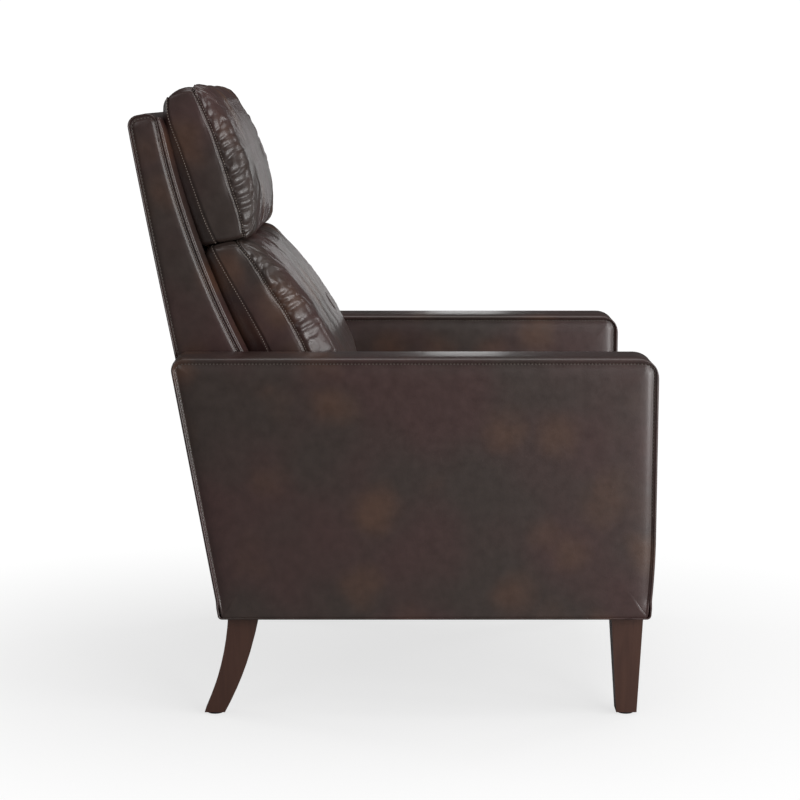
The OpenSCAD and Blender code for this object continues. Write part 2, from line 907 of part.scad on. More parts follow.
// A clip plate at one end of a back spring, on a rail's front face from height v up
module back_clip(y, u, v, h) {
  slab(y - clip_half, y + clip_half)
    polygon(in_chair([[u, v], [u + 2 * clip_t, v], [u + 2 * clip_t, v + h], [u, v + h]]));
}

module back_spring_clips() {
  color(steel)
    both()
      for (y = back_spring_ys) {
        back_clip(y, low_rail_u[1], low_rail_v[1] - 3 * clip_h, 3 * clip_h);
        back_clip(y, top_rail_u[1], top_rail_v[0], 2 * clip_h);
      }
}

lumbar_seam = [
  [0.856, 0], [1, 0.049], [1, 0.199], [0.941, 0.403], [0.86, 0.587],
  [0.775, 0.727], [0.685, 0.883], [0.617, 0.972], [0.541, 1]
];
lumbar_swell = [0.9, 0.98, 1, 1, 0.95, 0.88, 0.73, 0.55, 0.32];

module lumbar_cushion() {
  low = cover_low - 10;
  top = split_v - 0.8;
  seam = shaped(lumbar_seam, [0, low], [lumbar_depth, top - low]);
  crown = [for (i = [0:8]) seam[i] + lumbar_crown * lumbar_swell[i] * polar(8, 1)];
  color(leather)
    cushion(
      in_chair([for (v = even(low, top, cushion_points)) [shell_u(v) + seam_gap, v]]),
      in_chair(spline(seam, cushion_points / 8)),
      in_chair([for (p = spline(crown, cushion_points / 8)) [p[0], min(p[1], top)]]),
      back_half - 3, back_roll, 0.95
    );
}

headrest_seam = [
  [0.892, 0], [1, 0.053], [0.993, 0.196], [0.953, 0.422], [0.899, 0.666],
  [0.838, 0.834], [0.797, 0.932], [0.703, 0.97], [0.568, 0.962]
];
headrest_swell = [
  [0.16, 0], [0.45, 0], [0.86, -0.04], [1.04, -0.39], [1, -0.25],
  [0.76, -0.1], [0.5, 0.02], [0.12, 0.12], [0, 0.2]
];

module headrest_cushion() {
  low = split_v + 0.8;
  top = back_len + headrest_rise;
  bend = 16;
  back = concat(
    [for (v = even(low, top_v - 20, bend - 1)) [shell_u(v) + seam_gap, v]],
    even([shell_top_d + 4, top_v], [headrest_depth * 0.52, top - 17], cushion_points - bend)
  );
  seam = shaped(headrest_seam, [0, low], [headrest_depth, top - low]);
  crown = [for (i = [0:8]) seam[i] + headrest_crown * headrest_swell[i]];
  color(leather)
    cushion(
      in_chair(back), in_chair(spline(seam, cushion_points / 8)),
      in_chair([for (p = spline(crown, cushion_points / 8)) [p[0], max(p[1], low)]]),
      back_half - 3, back_roll, 0.95
    );
}

// Footrest links
module link(layer, p, q, holes, left) {
  color(steel)
    left_or_right(left)
      difference() {
        plate(layer)
          bar(p, q, link_w);
        for (h = holes)
          pivot_hole(h, layer);
      }
}

// A pivot stud of a link, fixed in layer i and reaching through layer j
module stud(p, i, j, left) {
  y0 = layer_in(j) - head_slip;
  color(steel)
    left_or_right(left) {
      rod(p, y0, layer_in(i) + 1, rivet_r);
      rod(p, y0 - rivet_head_t, y0, rivet_r + 2);
    }
}

module lift_link(left) {
  tail = tail_pin(0);
  y0 = layer_in(LIFT_LAYER);
  link(LIFT_LAYER, lift_pivot, lift_end, [lift_pivot], left);
  link(LIFT_LAYER, lift_pivot, tail, [lift_pivot], left);
  color(steel)
    left_or_right(left)
      rod(tail, y0 + 1, layer_in(ROCKER_LAYER) + plate_t, rivet_r);
  stud(fold_knee, LIFT_LAYER, CROSS_LAYER, left);
  stud(lift_end, LIFT_LAYER, BRACE_LAYER, left);
}

module cross_link(left) {
  link(CROSS_LAYER, fold_knee, cross_end, [fold_knee], left);
  stud(cross_end, CROSS_LAYER, CARRIER_LAYER, left);
}

bracket_t = 4;
bracket_h = 48;
bracket_w = 34;
board_rear_x = lift_pivot[0] + 27;
bracket_z = [carrier_knee[1] - 14 - bracket_h, carrier_knee[1] - 14];

module carrier_link(left) {
  color(steel)
    left_or_right(left)
      difference() {
        plate(CARRIER_LAYER) {
          bar(cross_end, carrier_end, link_w);
          translate([carrier_knee[0] - 4, bracket_z[0]])
            square([board_rear_x - bracket_t - carrier_knee[0] + 4, bracket_z[1] - bracket_z[0]]);
        }
        pivot_hole(cross_end, CARRIER_LAYER);
      }
  stud(carrier_knee, CARRIER_LAYER, BRACE_LAYER, left);
}

module brace_link(left) {
  link(BRACE_LAYER, lift_end, carrier_knee, [lift_end, carrier_knee], left);
}

module footrest_brackets() {
  color(steel)
    both()
      box(
        [board_rear_x - bracket_t, layer_in(CARRIER_LAYER) + plate_t - bracket_w, bracket_z[0]],
        [board_rear_x, layer_in(CARRIER_LAYER) + plate_t, bracket_z[1]]
      );
}

// The pad's top edge clears the deck as it swings out
pad_drop = 11;
pad_top_z = deck_top_z - pad_drop;
pad_rear_x = board_rear_x + foot_board_t + seam_gap;
pad_half = cushion_half - 2;
board_inset = 8;

module footrest_board() {
  color(pine)
    box(
      [board_rear_x, -pad_half + board_inset, pad_top_z - pad_h + board_inset],
      [board_rear_x + foot_board_t, pad_half - board_inset, pad_top_z - board_inset]
    );
}

pad_seam = [
  [0.073, 0], [0.473, 0.022], [0.618, 0.098], [0.655, 0.268], [0.673, 0.5],
  [0.655, 0.732], [0.618, 0.902], [0.473, 0.978], [0.073, 1]
];
pad_crown = [
  [0.073, 0], [0.655, 0.013], [0.891, 0.098], [0.982, 0.268], [1, 0.5],
  [0.982, 0.732], [0.891, 0.902], [0.655, 0.987], [0.073, 1]
];

module footrest_pad() {
  low = [pad_rear_x, pad_top_z - pad_h];
  color(leather)
    cushion(
      even(low + [0, 2], low + [0, pad_h - 2], cushion_points),
      spline(shaped(pad_seam, low, [pad_t, pad_h]), cushion_points / 8),
      spline(shaped(pad_crown, low, [pad_t, pad_h]), cushion_points / 8),
      pad_half, seat_roll, 0.92
    );
}

arm_frame(true);  // arm_frame_left
arm_frame(false);  // arm_frame_right
arm_outer_panel(true);  // arm_outer_panel_left
arm_outer_panel(false);  // arm_outer_panel_right
arm_inner_panel(true);  // arm_inner_panel_left
arm_inner_panel(false);  // arm_inner_panel_right
arm_band(true);  // arm_band_left
arm_band(false);  // arm_band_right
front_rail();
rear_rail();
corner_blocks();
front_leg(true);  // front_leg_left
front_leg(false);  // front_leg_right
rear_leg(true);  // rear_leg_left
rear_leg(false);  // rear_leg_right
leg_glides();
leg_bolts();
mechanism_base(true);  // mechanism_base_left
mechanism_base(false);  // mechanism_base_right
base_rivets();
mechanism_screws();
rocker(front_foot, true);  // front_rocker_left
rocker(front_foot, false);  // front_rocker_right
torque_tube(front_foot);  // front_torque_tube
rocker(rear_foot, true);  // rear_rocker_left
rocker(rear_foot, false);  // rear_rocker_right
torque_tube(rear_foot);  // rear_torque_tube
seat_plate(true);  // seat_plate_left
seat_plate(false);  // seat_plate_right
seat_rivets();
seat_spacers();
seat_frame();
seat_springs();
seat_spring_clips();
seat_deck();
seat_cushion();
back_frame();
back_springs();
back_spring_clips();
back_bracket(true);  // back_bracket_left
back_bracket(false);  // back_bracket_right
back_cover();
back_panel();
lumbar_cushion();
headrest_cushion();
lift_link(true);  // lift_link_left
lift_link(false);  // lift_link_right
cross_link(true);  // cross_link_left
cross_link(false);  // cross_link_right
carrier_link(true);  // carrier_link_left
carrier_link(false);  // carrier_link_right
brace_link(true);  // brace_link_left
brace_link(false);  // brace_link_right
footrest_brackets();
footrest_board();
footrest_pad();
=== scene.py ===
"""Looks of the pushback recliner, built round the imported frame.

Metres; +X is the front, +Y the sitter's left and +Z up. Every piece rides on a body of the frame.
"""

import math

import bmesh
import bpy
import numpy as np
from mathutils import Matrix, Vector, noise


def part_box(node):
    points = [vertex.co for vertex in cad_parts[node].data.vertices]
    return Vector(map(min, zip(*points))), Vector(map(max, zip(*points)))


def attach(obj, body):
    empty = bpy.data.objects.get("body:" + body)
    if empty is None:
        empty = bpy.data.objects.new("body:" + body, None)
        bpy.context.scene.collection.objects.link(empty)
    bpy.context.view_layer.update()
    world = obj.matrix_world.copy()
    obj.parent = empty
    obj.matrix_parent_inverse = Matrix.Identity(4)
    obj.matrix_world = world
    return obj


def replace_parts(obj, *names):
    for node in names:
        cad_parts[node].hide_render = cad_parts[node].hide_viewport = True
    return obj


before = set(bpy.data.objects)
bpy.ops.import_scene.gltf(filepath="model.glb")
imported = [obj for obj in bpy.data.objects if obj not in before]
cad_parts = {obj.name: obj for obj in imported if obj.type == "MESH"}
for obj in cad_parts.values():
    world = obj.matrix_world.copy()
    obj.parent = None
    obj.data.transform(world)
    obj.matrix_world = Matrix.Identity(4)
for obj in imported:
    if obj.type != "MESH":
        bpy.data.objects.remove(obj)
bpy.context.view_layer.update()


# The hide: pull-up cowhide, dyed dark brown, waxed and buffed so that warm tan clouds and
# greenish-black clouds show through, with a fine pebble grain and a semi-gloss finish.
MIX_A, MIX_B, MIX_OUT = 6, 7, 2  # the colour sockets of a Mix node


def add(tree, kind, inputs=None, **props):
    """A node of that kind. An input that is given a socket is linked to it, any other is set."""
    node = tree.nodes.new(kind)
    for key, value in props.items():
        setattr(node, key, value)
    for key, value in (inputs or {}).items():
        if isinstance(value, bpy.types.NodeSocket):
            tree.links.new(value, node.inputs[key])
        else:
            node.inputs[key].default_value = value
    return node


def group(name, sockets_in, sockets_out):
    """An empty node group and its input and output nodes."""
    tree = bpy.data.node_groups.new(name, "ShaderNodeTree")
    for label, kind in sockets_in:
        tree.interface.new_socket(label, in_out="INPUT", socket_type="NodeSocket" + kind)
    for label, kind in sockets_out:
        tree.interface.new_socket(label, in_out="OUTPUT", socket_type="NodeSocket" + kind)
    return tree, tree.nodes.new("NodeGroupInput"), tree.nodes.new("NodeGroupOutput")


def material(name, values):
    """A new material, its node tree, its shader with those values, and the socket of the object's
    own coordinates."""
    made = bpy.data.materials.new(name)
    made.use_nodes = True
    tree = made.node_tree
    shader = tree.nodes["Principled BSDF"]
    for key, value in values.items():
        shader.inputs[key].default_value = value
    return made, tree, shader, add(tree, "ShaderNodeTexCoord").outputs["Object"]


def emboss(tree, shader, height, strength, distance):
    """Bump from the socket of a height."""
    bump = add(tree, "ShaderNodeBump", {"Height": height, "Strength": strength, "Distance": distance})
    tree.links.new(bump.outputs["Normal"], shader.inputs["Normal"])


def worn(name, values, scale, low, high):
    """A plain material whose roughness wanders from low to high in fine patches."""
    made, tree, shader, at = material(name, values)
    fine = add(tree, "ShaderNodeTexNoise", {"Vector": at, "Scale": scale, "Detail": 4.0})
    rough = add(tree, "ShaderNodeMapRange", {"Value": fine.outputs["Fac"], "To Min": low, "To Max": high})
    tree.links.new(rough.outputs["Result"], shader.inputs["Roughness"])
    return made


def clouds(tree, vector, scale, low, high, shift, detail=1.5):
    """A mask of soft clouds, 0 where the noise is below low and 1 above high; shift moves them."""
    moved = add(tree, "ShaderNodeVectorMath", {0: vector, 1: (shift, shift * 0.7, -shift)}, operation="ADD")
    cloud = add(
        tree, "ShaderNodeTexNoise",
        {"Vector": moved.outputs[0], "Scale": scale, "Detail": detail, "Roughness": 0.45},
    )
    return add(
        tree, "ShaderNodeMapRange", {"Value": cloud.outputs["Fac"], "From Min": low, "From Max": high},
        interpolation_type="SMOOTHSTEP",
    ).outputs["Result"]


hide_tree, hide_in, hide_out = group(
    "hide_pattern", [("Vector", "Vector")], [("Color", "Color"), ("Roughness", "Float"), ("Normal", "Vector")]
)
at = hide_in.outputs["Vector"]
brown, tan, sooty = (0.054, 0.0248, 0.0222, 1), (0.081, 0.039, 0.0245, 1), (0.040, 0.0262, 0.0215, 1)
colour = add(
    hide_tree, "ShaderNodeMix",
    {"Factor": clouds(hide_tree, at, 6.0, 0.34, 0.68, 3.1), MIX_A: brown, MIX_B: sooty},
    data_type="RGBA",
)
# Tan spots fade in round scattered points, and the points drift so that no spot is quite round
drift = add(hide_tree, "ShaderNodeTexNoise", {"Vector": at, "Scale": 15.0, "Detail": 2.0, "Roughness": 0.5})
drift = add(
    hide_tree, "ShaderNodeVectorMath", {0: drift.outputs["Color"], 1: (0.05, 0.05, 0.05), 2: at},
    operation="MULTIPLY_ADD",
)
spots = add(hide_tree, "ShaderNodeTexVoronoi", {"Vector": drift.outputs[0], "Scale": 9.2}, feature="F1")
spots = add(
    hide_tree, "ShaderNodeMapRange",
    {"Value": spots.outputs["Distance"], "From Min": 0.10, "From Max": 0.54, "To Min": 1.0, "To Max": 0.0},
    interpolation_type="SMOOTHSTEP",
)
spots = add(
    hide_tree, "ShaderNodeMath",
    {0: spots.outputs["Result"], 1: clouds(hide_tree, at, 5.0, 0.22, 0.52, 8.4, 0.3)},
    operation="MULTIPLY",
)
colour = add(
    hide_tree, "ShaderNodeMix", {"Factor": spots.outputs[0], MIX_A: colour.outputs[MIX_OUT], MIX_B: tan},
    data_type="RGBA",
)
mottle = add(hide_tree, "ShaderNodeTexNoise", {"Vector": at, "Scale": 55.0, "Detail": 5.0, "Roughness": 0.6})
shade, gloss = (
    add(
        hide_tree, "ShaderNodeMapRange",
        {"Value": mottle.outputs["Fac"], "From Min": 0.3, "From Max": 0.7, "To Min": low, "To Max": high},
    )
    for low, high in ((0.86, 1.14), (0.38, 0.48))
)
colour = add(
    hide_tree, "ShaderNodeMix", {"Factor": 1.0, MIX_A: colour.outputs[MIX_OUT], MIX_B: shade.outputs["Result"]},
    data_type="RGBA", blend_type="MULTIPLY",
)
hide_tree.links.new(colour.outputs[MIX_OUT], hide_out.inputs["Color"])
hide_tree.links.new(gloss.outputs["Result"], hide_out.inputs["Roughness"])
# Fine pebble grain over the soft unevenness of the skin
pebble = add(hide_tree, "ShaderNodeTexVoronoi", {"Vector": at, "Scale": 780.0}, feature="SMOOTH_F1")
soft = add(hide_tree, "ShaderNodeTexNoise", {"Vector": at, "Scale": 26.0, "Detail": 3.0, "Roughness": 0.5})
bump = add(hide_tree, "ShaderNodeBump", {"Height": soft.outputs["Fac"], "Strength": 0.35, "Distance": 0.0022})
bump = add(
    hide_tree, "ShaderNodeBump",
    {
        "Height": pebble.outputs["Distance"], "Normal": bump.outputs["Normal"], "Strength": 0.22,
        "Distance": 0.0004,
    },
    invert=True,
)
hide_tree.links.new(bump.outputs["Normal"], hide_out.inputs["Normal"])

hide, tree, shader, at = material("hide", {"Coat Weight": 0.5, "Coat Roughness": 0.24})
pattern = add(tree, "ShaderNodeGroup", {"Vector": at}, node_tree=hide_tree)
for output, key in (("Color", "Base Color"), ("Roughness", "Roughness"), ("Normal", "Normal")):
    tree.links.new(pattern.outputs[output], shader.inputs[key])


# Thread: bonded nylon in rows of lock stitches, each row in the shallow furrow that it pulls into
# the hide. Heavy taupe thread holds the arms and the shell's rear edge, finer light thread the back.
def thread(name, colour):
    """Twisted thread of that colour, with painted shade making it darker between its plies."""
    made, tree, shader, at = material(name, {"Roughness": 0.45})
    ply = add(tree, "ShaderNodeTexNoise", {"Vector": at, "Scale": 900.0, "Detail": 2.0})
    # Painted shade: a darker copy of the thread's colour, scattered by noise, stands in for the shade between
    # the plies
    shadow = [c * 0.6 for c in colour[:3]] + [1]
    tint = add(
        tree, "ShaderNodeMix", {"Factor": ply.outputs["Fac"], MIX_A: colour, MIX_B: shadow}, data_type="RGBA"
    )
    tree.links.new(tint.outputs[MIX_OUT], shader.inputs["Base Color"])
    emboss(tree, shader, ply.outputs["Fac"], 0.4, 0.0003)
    return made


taupe_thread = thread("taupe_thread", (0.15, 0.125, 0.105, 1))
light_thread = thread("light_thread", (0.34, 0.28, 0.24, 1))
FINE_STITCH, HEAVY_STITCH = (0.0024, 0.0021, 0.0007), (0.0034, 0.0023, 0.0009)  # length, gap, thread radius
HIDE = 0.0014  # how thick the hide is


def finish_mesh(name, bm, finish, body):
    """The mesh as a smooth-shaded object with its finish, riding on its body."""
    mesh = bpy.data.meshes.new(name)
    bm.to_mesh(mesh)
    bm.free()
    mesh.materials.append(finish)
    for face in mesh.polygons:
        face.use_smooth = True
    piece = bpy.data.objects.new(name, mesh)
    bpy.context.scene.collection.objects.link(piece)
    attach(piece, body)
    return piece


def along(line, step):
    """Points spaced evenly by about step along a line of points."""
    line = np.asarray(line, float)
    far = np.concatenate([[0], np.cumsum(np.linalg.norm(np.diff(line, axis=0), axis=1))])
    count = max(2, round(far[-1] / step) + 1)
    spots = np.linspace(0, far[-1], count)
    return np.stack([np.interp(spots, far, line[:, i]) for i in range(3)], axis=1)


def stitches(name, lines, finish, body, size=FINE_STITCH):
    """Rows of stitches: one bead of thread, laid end to end along each line of points."""
    length, gap, radius = size
    bm = bmesh.new()
    bmesh.ops.create_uvsphere(bm, u_segments=6, v_segments=4, radius=radius)
    bmesh.ops.scale(bm, vec=(1, 1, length / 2 / radius), verts=bm.verts)
    bead = np.array([v.co for v in bm.verts])
    faces = [[v.index for v in face.verts] for face in bm.faces]
    bm.free()
    places, all_faces = [], []
    for line in lines:
        ends = along(line, length + gap)
        for start, end in zip(ends[:-1], ends[1:]):
            turn = np.array(Vector(end - start).to_track_quat("Z", "Y").to_matrix())
            all_faces += [[i + len(places) * len(bead) for i in face] for face in faces]
            places.append(bead @ turn.T + (start + end) / 2)
    mesh = bpy.data.meshes.new(name)
    mesh.from_pydata(np.concatenate(places).tolist(), [], all_faces)
    bm = bmesh.new()
    bm.from_mesh(mesh)
    bpy.data.meshes.remove(mesh)
    return finish_mesh(name, bm, finish, body)


def net(name, points, finish, body, thickness=0.0, close=False, flip=False, ends=False):
    """A surface through a net of points [row][column]. close joins the last column to the first,
    ends fills the first and last rows, and thickness gives the hide its wall, inwards."""
    points = np.asarray(points, float)
    rows, columns = points.shape[:2]
    if close:
        points = np.concatenate([points, points[:, :1]], axis=1)
    bm = bmesh.new()
    bmesh.ops.create_grid(bm, x_segments=points.shape[1] - 1, y_segments=rows - 1, size=1)
    for vertex, place in zip(bm.verts, points.reshape(-1, 3)):
        vertex.co = place
    if close:
        bm.verts.ensure_lookup_table()
        wide = columns + 1
        welds = {bm.verts[r * wide + columns]: bm.verts[r * wide] for r in range(rows)}
        bmesh.ops.weld_verts(bm, targetmap=welds)
    if ends:
        edges = [e for e in bm.edges if e.is_boundary]
        bmesh.ops.holes_fill(bm, edges=edges, sides=0)
        bmesh.ops.recalc_face_normals(bm, faces=bm.faces)
    if flip:
        bmesh.ops.reverse_faces(bm, faces=bm.faces)
    piece = finish_mesh(name, bm, finish, body)
    if thickness:
        wall = piece.modifiers.new("wall", "SOLIDIFY")
        wall.thickness = thickness
        wall.offset = -1
    return piece


def reopen(piece):
    """The piece's mesh, opened for more work."""
    bm = bmesh.new()
    bm.from_mesh(piece.data)
    bm.verts.ensure_lookup_table()
    return bm


def put_back(bm, piece):
    """The mesh back into its piece, smooth-shaded."""
    for face in bm.faces:
        face.smooth = True
    bm.to_mesh(piece.data)
    bm.free()


def face_outwards(bm, outward):
    """Turns all faces so that the largest looks outward along y (+1 or -1), and returns that face."""
    bmesh.ops.recalc_face_normals(bm, faces=bm.faces)
    largest = max(bm.faces, key=lambda f: f.calc_area())
    if largest.normal.y * outward < 0:
        bmesh.ops.reverse_faces(bm, faces=bm.faces)
    return largest


def smooth_line(points, count):
    """A smooth line through the points (Catmull-Rom), as count points."""
    p = np.asarray(points, float)
    p = np.concatenate([2 * p[:1] - p[1:2], p, 2 * p[-1:] - p[-2:-1]])
    t = np.linspace(0, len(p) - 3, count)
    i = np.minimum(t.astype(int), len(p) - 4)
    f = (t - i)[:, None]
    a, b, c, d = p[i], p[i + 1], p[i + 2], p[i + 3]
    return 0.5 * (2 * b + (c - a) * f + (2 * a - 5 * b + 4 * c - d) * f**2 + (3 * b - a - 3 * c + d) * f**3)


# Arms: each is a board frame padded with a thin sheet of foam. Flat outer and inner panels of hide
# are sewn to a wrap-around band with one row of topstitch, and fold under the arm at the bottom.
MID, HALF = 0.315, 0.045  # each arm's middle plane from the chair's, and half its thickness
REAR_ANGLE = math.radians(10)
LEAN = math.tan(REAR_ANGLE)  # the rear edge leans backwards
BOTTOM, TOP, FRONT, REAR = 0.173, 0.6034, 0.431, -0.285
TUCK, TUCK_TOP, TUCK_REAR = 0.007, 0.304, 0.1  # how far the front's lower part draws in, from where


def corner(p, q, s, r, count):
    """Points of a corner at q, rounded to r, on the way from p to s."""
    p, q, s = (np.asarray(v, float) for v in (p, q, s))
    a, b = (p - q) / np.linalg.norm(p - q), (s - q) / np.linalg.norm(s - q)
    half = math.acos(float(a @ b)) / 2
    centre = q + (a + b) / np.linalg.norm(a + b) * r / math.sin(half)
    start, end = q + a * r / math.tan(half) - centre, q + b * r / math.tan(half) - centre
    t = np.linspace(0, 1, count)[:, None]
    angle = math.acos(max(-1.0, min(1.0, float(start @ end) / r**2)))
    return centre + (np.sin((1 - t) * angle) * start + np.sin(t * angle) * end) / math.sin(angle)


def arm_ring(side, top, low, radii):
    """The arm's side outline [x, z] moved inwards: by side at its front and rear, by top at its top and
    by low at its bottom. radii are for the rear low, rear top, front top and front low corners."""
    z0, z1 = BOTTOM + low, TOP - top
    shift = side / math.cos(REAR_ANGLE) + REAR
    c = [
        (shift - (z0 - BOTTOM) * LEAN, z0), (shift - (z1 - BOTTOM) * LEAN, z1),
        (FRONT - side, z1), (FRONT - side, z0),
    ]
    arcs = [corner(c[i - 1], c[i], c[(i + 1) % 4], radii[i], 11) for i in range(4)]
    parts = []
    for i, count in ((0, 34), (1, 62), (2, 34), (3, 52)):
        t = np.linspace(0, 1, count)[1:-1, None]
        parts += [arcs[i], arcs[i][-1] * (1 - t) + arcs[(i + 1) % 4][0] * t]
    ring = np.concatenate(parts)
    down = np.clip((TUCK_TOP - ring[:, 1]) / (TUCK_TOP - BOTTOM), 0, 1)
    ring[:, 0] -= TUCK * down**1.8 * np.clip((ring[:, 0] - TUCK_REAR) / 0.3, 0, 1)
    return ring


def near_bottom(ring):
    """1 beside the arm's bottom board, where the hide is pulled flat over wood, fading to 0 above."""
    return np.clip((0.200 - ring[:, 1]) / 0.012, 0, 1)


UNDER, SEAM_SIDE, SEAM_TOP = -0.0012, 0.0035, 0.0060  # wrap under the arm, and the seam in from the crown
REAR_R, FRONT_R = 0.0145, 0.021  # radii of the seam's rear top and front top corners
CROWN = arm_ring(0.0, 0.0, UNDER, (0.006, 0.022, 0.038, 0.006))
SEAM = arm_ring(SEAM_SIDE, SEAM_TOP, UNDER, (0.003, REAR_R, FRONT_R, 0.003))
# Half of the band's cross-section: share of the way from crown to seam, and place across the arm
band_half = smooth_line(
    [(1.3, 0.0400), (1.08, 0.0434), (0.94, 0.0446), (0.76, 0.0450), (0.56, 0.0441), (0.39, 0.0420),
     (0.25, 0.0383), (0.14, 0.0328), (0.06, 0.0250), (0.015, 0.0130), (0.0, 0.0)],
    22,
)
band_line = np.concatenate([band_half, band_half[-2::-1] * [1, -1]])
# The panel's edge from the seam inwards: inset past the seam and height off the panel's plane; then
# the fold along the bottom: height above the arm's underside and height off the plane there
panel_edge = [
    (0.0004, -0.0085, -0.0024, -0.026), (0.0, -0.0060, -0.0026, -0.012), (0.0006, -0.0036, -0.0024, -0.0055),
    (0.0014, -0.0024, -0.0018, -0.0030), (0.0024, -0.0022, -0.0004, -0.0012), (0.0034, -0.0034, 0.0014, -0.0004),
    (0.0042, -0.0043, 0.0034, -0.0001), (0.0050, -0.0044, 0.0050, 0.0), (0.0062, -0.0040, 0.0065, 0.0),
    (0.0085, -0.0030, 0.009, 0.0), (0.0115, -0.0020, 0.012, 0.0), (0.0155, -0.0011, 0.017, 0.0001),
    (0.0205, -0.0004, 0.024, 0.0002), (0.0280, 0.0002, 0.034, 0.0004), (0.042, 0.0007, 0.05, 0.0006),
    (0.065, 0.0010, 0.07, 0.0009), (0.095, 0.0011, 0.1, 0.0011), (0.14, 0.0011, 0.14, 0.0011),
]


def arm_panel(name, plane, outward, board):
    """A side panel whose plane is at y = plane and whose grain side faces outward (+1 or -1). Beside
    the bottom board it is no lower than board off that plane."""
    rows = []
    for k, (inset, height, low, under) in enumerate(panel_edge):
        bends = [max(r - inset, 0.004) for r in (REAR_R, FRONT_R)]
        ring = arm_ring(SEAM_SIDE + inset, SEAM_TOP + inset, low, (0.004, *bends, 0.004))
        folded = np.clip(1 - (ring[:, 1] - BOTTOM - max(low, 0)) / 0.0022, 0, 1)
        off = height + (max(height, board) - height) * near_bottom(ring) * (k > 1)
        off = off * (1 - folded) + under * folded
        rows.append(np.stack([ring[:, 0], plane + outward * off, ring[:, 1]], axis=1))
    piece = net(name, rows, hide, "base", thickness=HIDE, close=True, flip=outward > 0)
    bm = reopen(piece)
    # One flat face fills the innermost ring, the only open edges at the panel's middle height
    open_edges = [e for e in bm.edges if e.is_boundary]
    inner = [e for e in open_edges if abs(e.verts[0].co.z - 0.39) < 0.09 and e.verts[0].co.x < 0.3]
    bmesh.ops.contextual_create(bm, geom=inner)
    face_outwards(bm, outward)
    put_back(bm, piece)
    return piece


for side, word in ((1, "left"), (-1, "right")):
    outer, inner = side * (MID + HALF + 0.0015), side * (MID - HALF)
    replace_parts(arm_panel(f"arm_outer_hide_{word}", outer, side, -0.0007), f"arm_outer_panel_{word}")
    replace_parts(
        arm_panel(f"arm_inner_hide_{word}", inner + side * 0.0005, -side, 0.0013), f"arm_inner_panel_{word}"
    )
    rows = []
    full = near_bottom(CROWN)
    for share, across in band_line:
        xz = CROWN + (SEAM - CROWN) * (share * (1 - 0.8 * full))[:, None]
        rows.append(np.stack([xz[:, 0], side * (MID + across * (1 + 0.034 * full)), xz[:, 1]], axis=1))
    band = net(f"arm_band_hide_{word}", rows, hide, "base", thickness=HIDE, close=True, flip=side < 0)
    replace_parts(band, f"arm_band_{word}")
    # The topstitch runs in the panel's furrow: up the rear, over the top and down the front
    furrow = 0.0042
    sewn = arm_ring(SEAM_SIDE + furrow, SEAM_TOP + furrow, 0.012, (0.004, 0.0105, 0.017, 0.004))[5:145]
    lines = [
        np.stack([sewn[:, 0], np.full(len(sewn), y), sewn[:, 1]], axis=1)
        for y in (outer - side * 0.0034, inner + side * 0.0039)
    ]
    stitches(f"arm_topstitch_{word}", lines, taupe_thread, "base", HEAVY_STITCH)


# Back shell: plywood sides and an outside back under thin padding. The outside back runs over the
# top as one hide, sewn to the side panels; at the front a border strip is sewn on with twin rows.
BACK_X, BACK_Z, TILT = -0.3008, 0.300, math.radians(11)  # the back's lower rear edge and its lean
SHELL_HALF, SHELL_LEN, SHELL_TOP_D, SHELL_R = 0.265, 0.699, 0.046, 0.018  # R is the top's rounding
OUT, UP = np.array([math.cos(TILT), 0, math.sin(TILT)]), np.array([-math.sin(TILT), 0, math.cos(TILT)])


def back_points(u, v, y):
    """Points of the back: u forwards from its rear face, v up along it, y across."""
    u, v, y = np.broadcast_arrays(np.asarray(u, float), np.asarray(v, float), np.asarray(y, float))
    lower_edge, across = np.array([BACK_X, 0, BACK_Z]), np.array([0, 1, 0])
    return lower_edge + u[..., None] * OUT + v[..., None] * UP + y[..., None] * across


def shell_front(v):
    """How far the shell's front edge is from its rear: deeper and deeper towards the seat."""
    return SHELL_TOP_D + 0.016 * (np.clip(0.681 - np.asarray(v, float), 0, None) / 0.213) ** 2


def shell_rear(v):
    """The padding swells the rear face a little between its edges."""
    return -0.0035 * np.clip(np.sin(np.clip(np.asarray(v, float) / SHELL_LEN, 0, 1) * math.pi), 0, 1) ** 0.5


def shell_ring(inset, ahead, low=0.15, radius=SHELL_R):
    """The shell's side outline [u, v]: up the rear, inset from it, round the top and down the front,
    which lies ahead of the frame's front edge."""
    top = SHELL_LEN - inset
    v = np.linspace(low + inset, top - radius, 44)
    rear = np.stack([shell_rear(v) + inset, v], axis=1)
    front_u = SHELL_TOP_D + ahead
    swing = np.linspace(0, math.pi / 2, 10)
    sine, cosine, bend_v = radius * np.sin(swing), radius * np.cos(swing), top - radius
    arc_a = np.stack([rear[-1, 0] + radius - cosine[1:], bend_v + sine[1:]], axis=1)
    arc_b = np.stack([front_u - radius + sine, bend_v + cosine], axis=1)
    v = np.linspace(bend_v, low + inset, 50)[1:]
    front = np.stack([shell_front(v) + ahead, v], axis=1)
    return np.concatenate([rear, arc_a, arc_b, front])


SEAM_AHEAD = 0.0030  # the front seam ahead of the frame's front edge
# The side panel's edge from the seam inwards: inset and height off the panel's plane
shell_edge = [
    (0.0002, -0.0075), (0.0, -0.0050), (0.0006, -0.0032), (0.0016, -0.0022), (0.0024, -0.0021),
    (0.0033, -0.0026), (0.0042, -0.0027), (0.0052, -0.0020), (0.0070, -0.0010), (0.0100, -0.0003), (0.0160, 0.0),
]
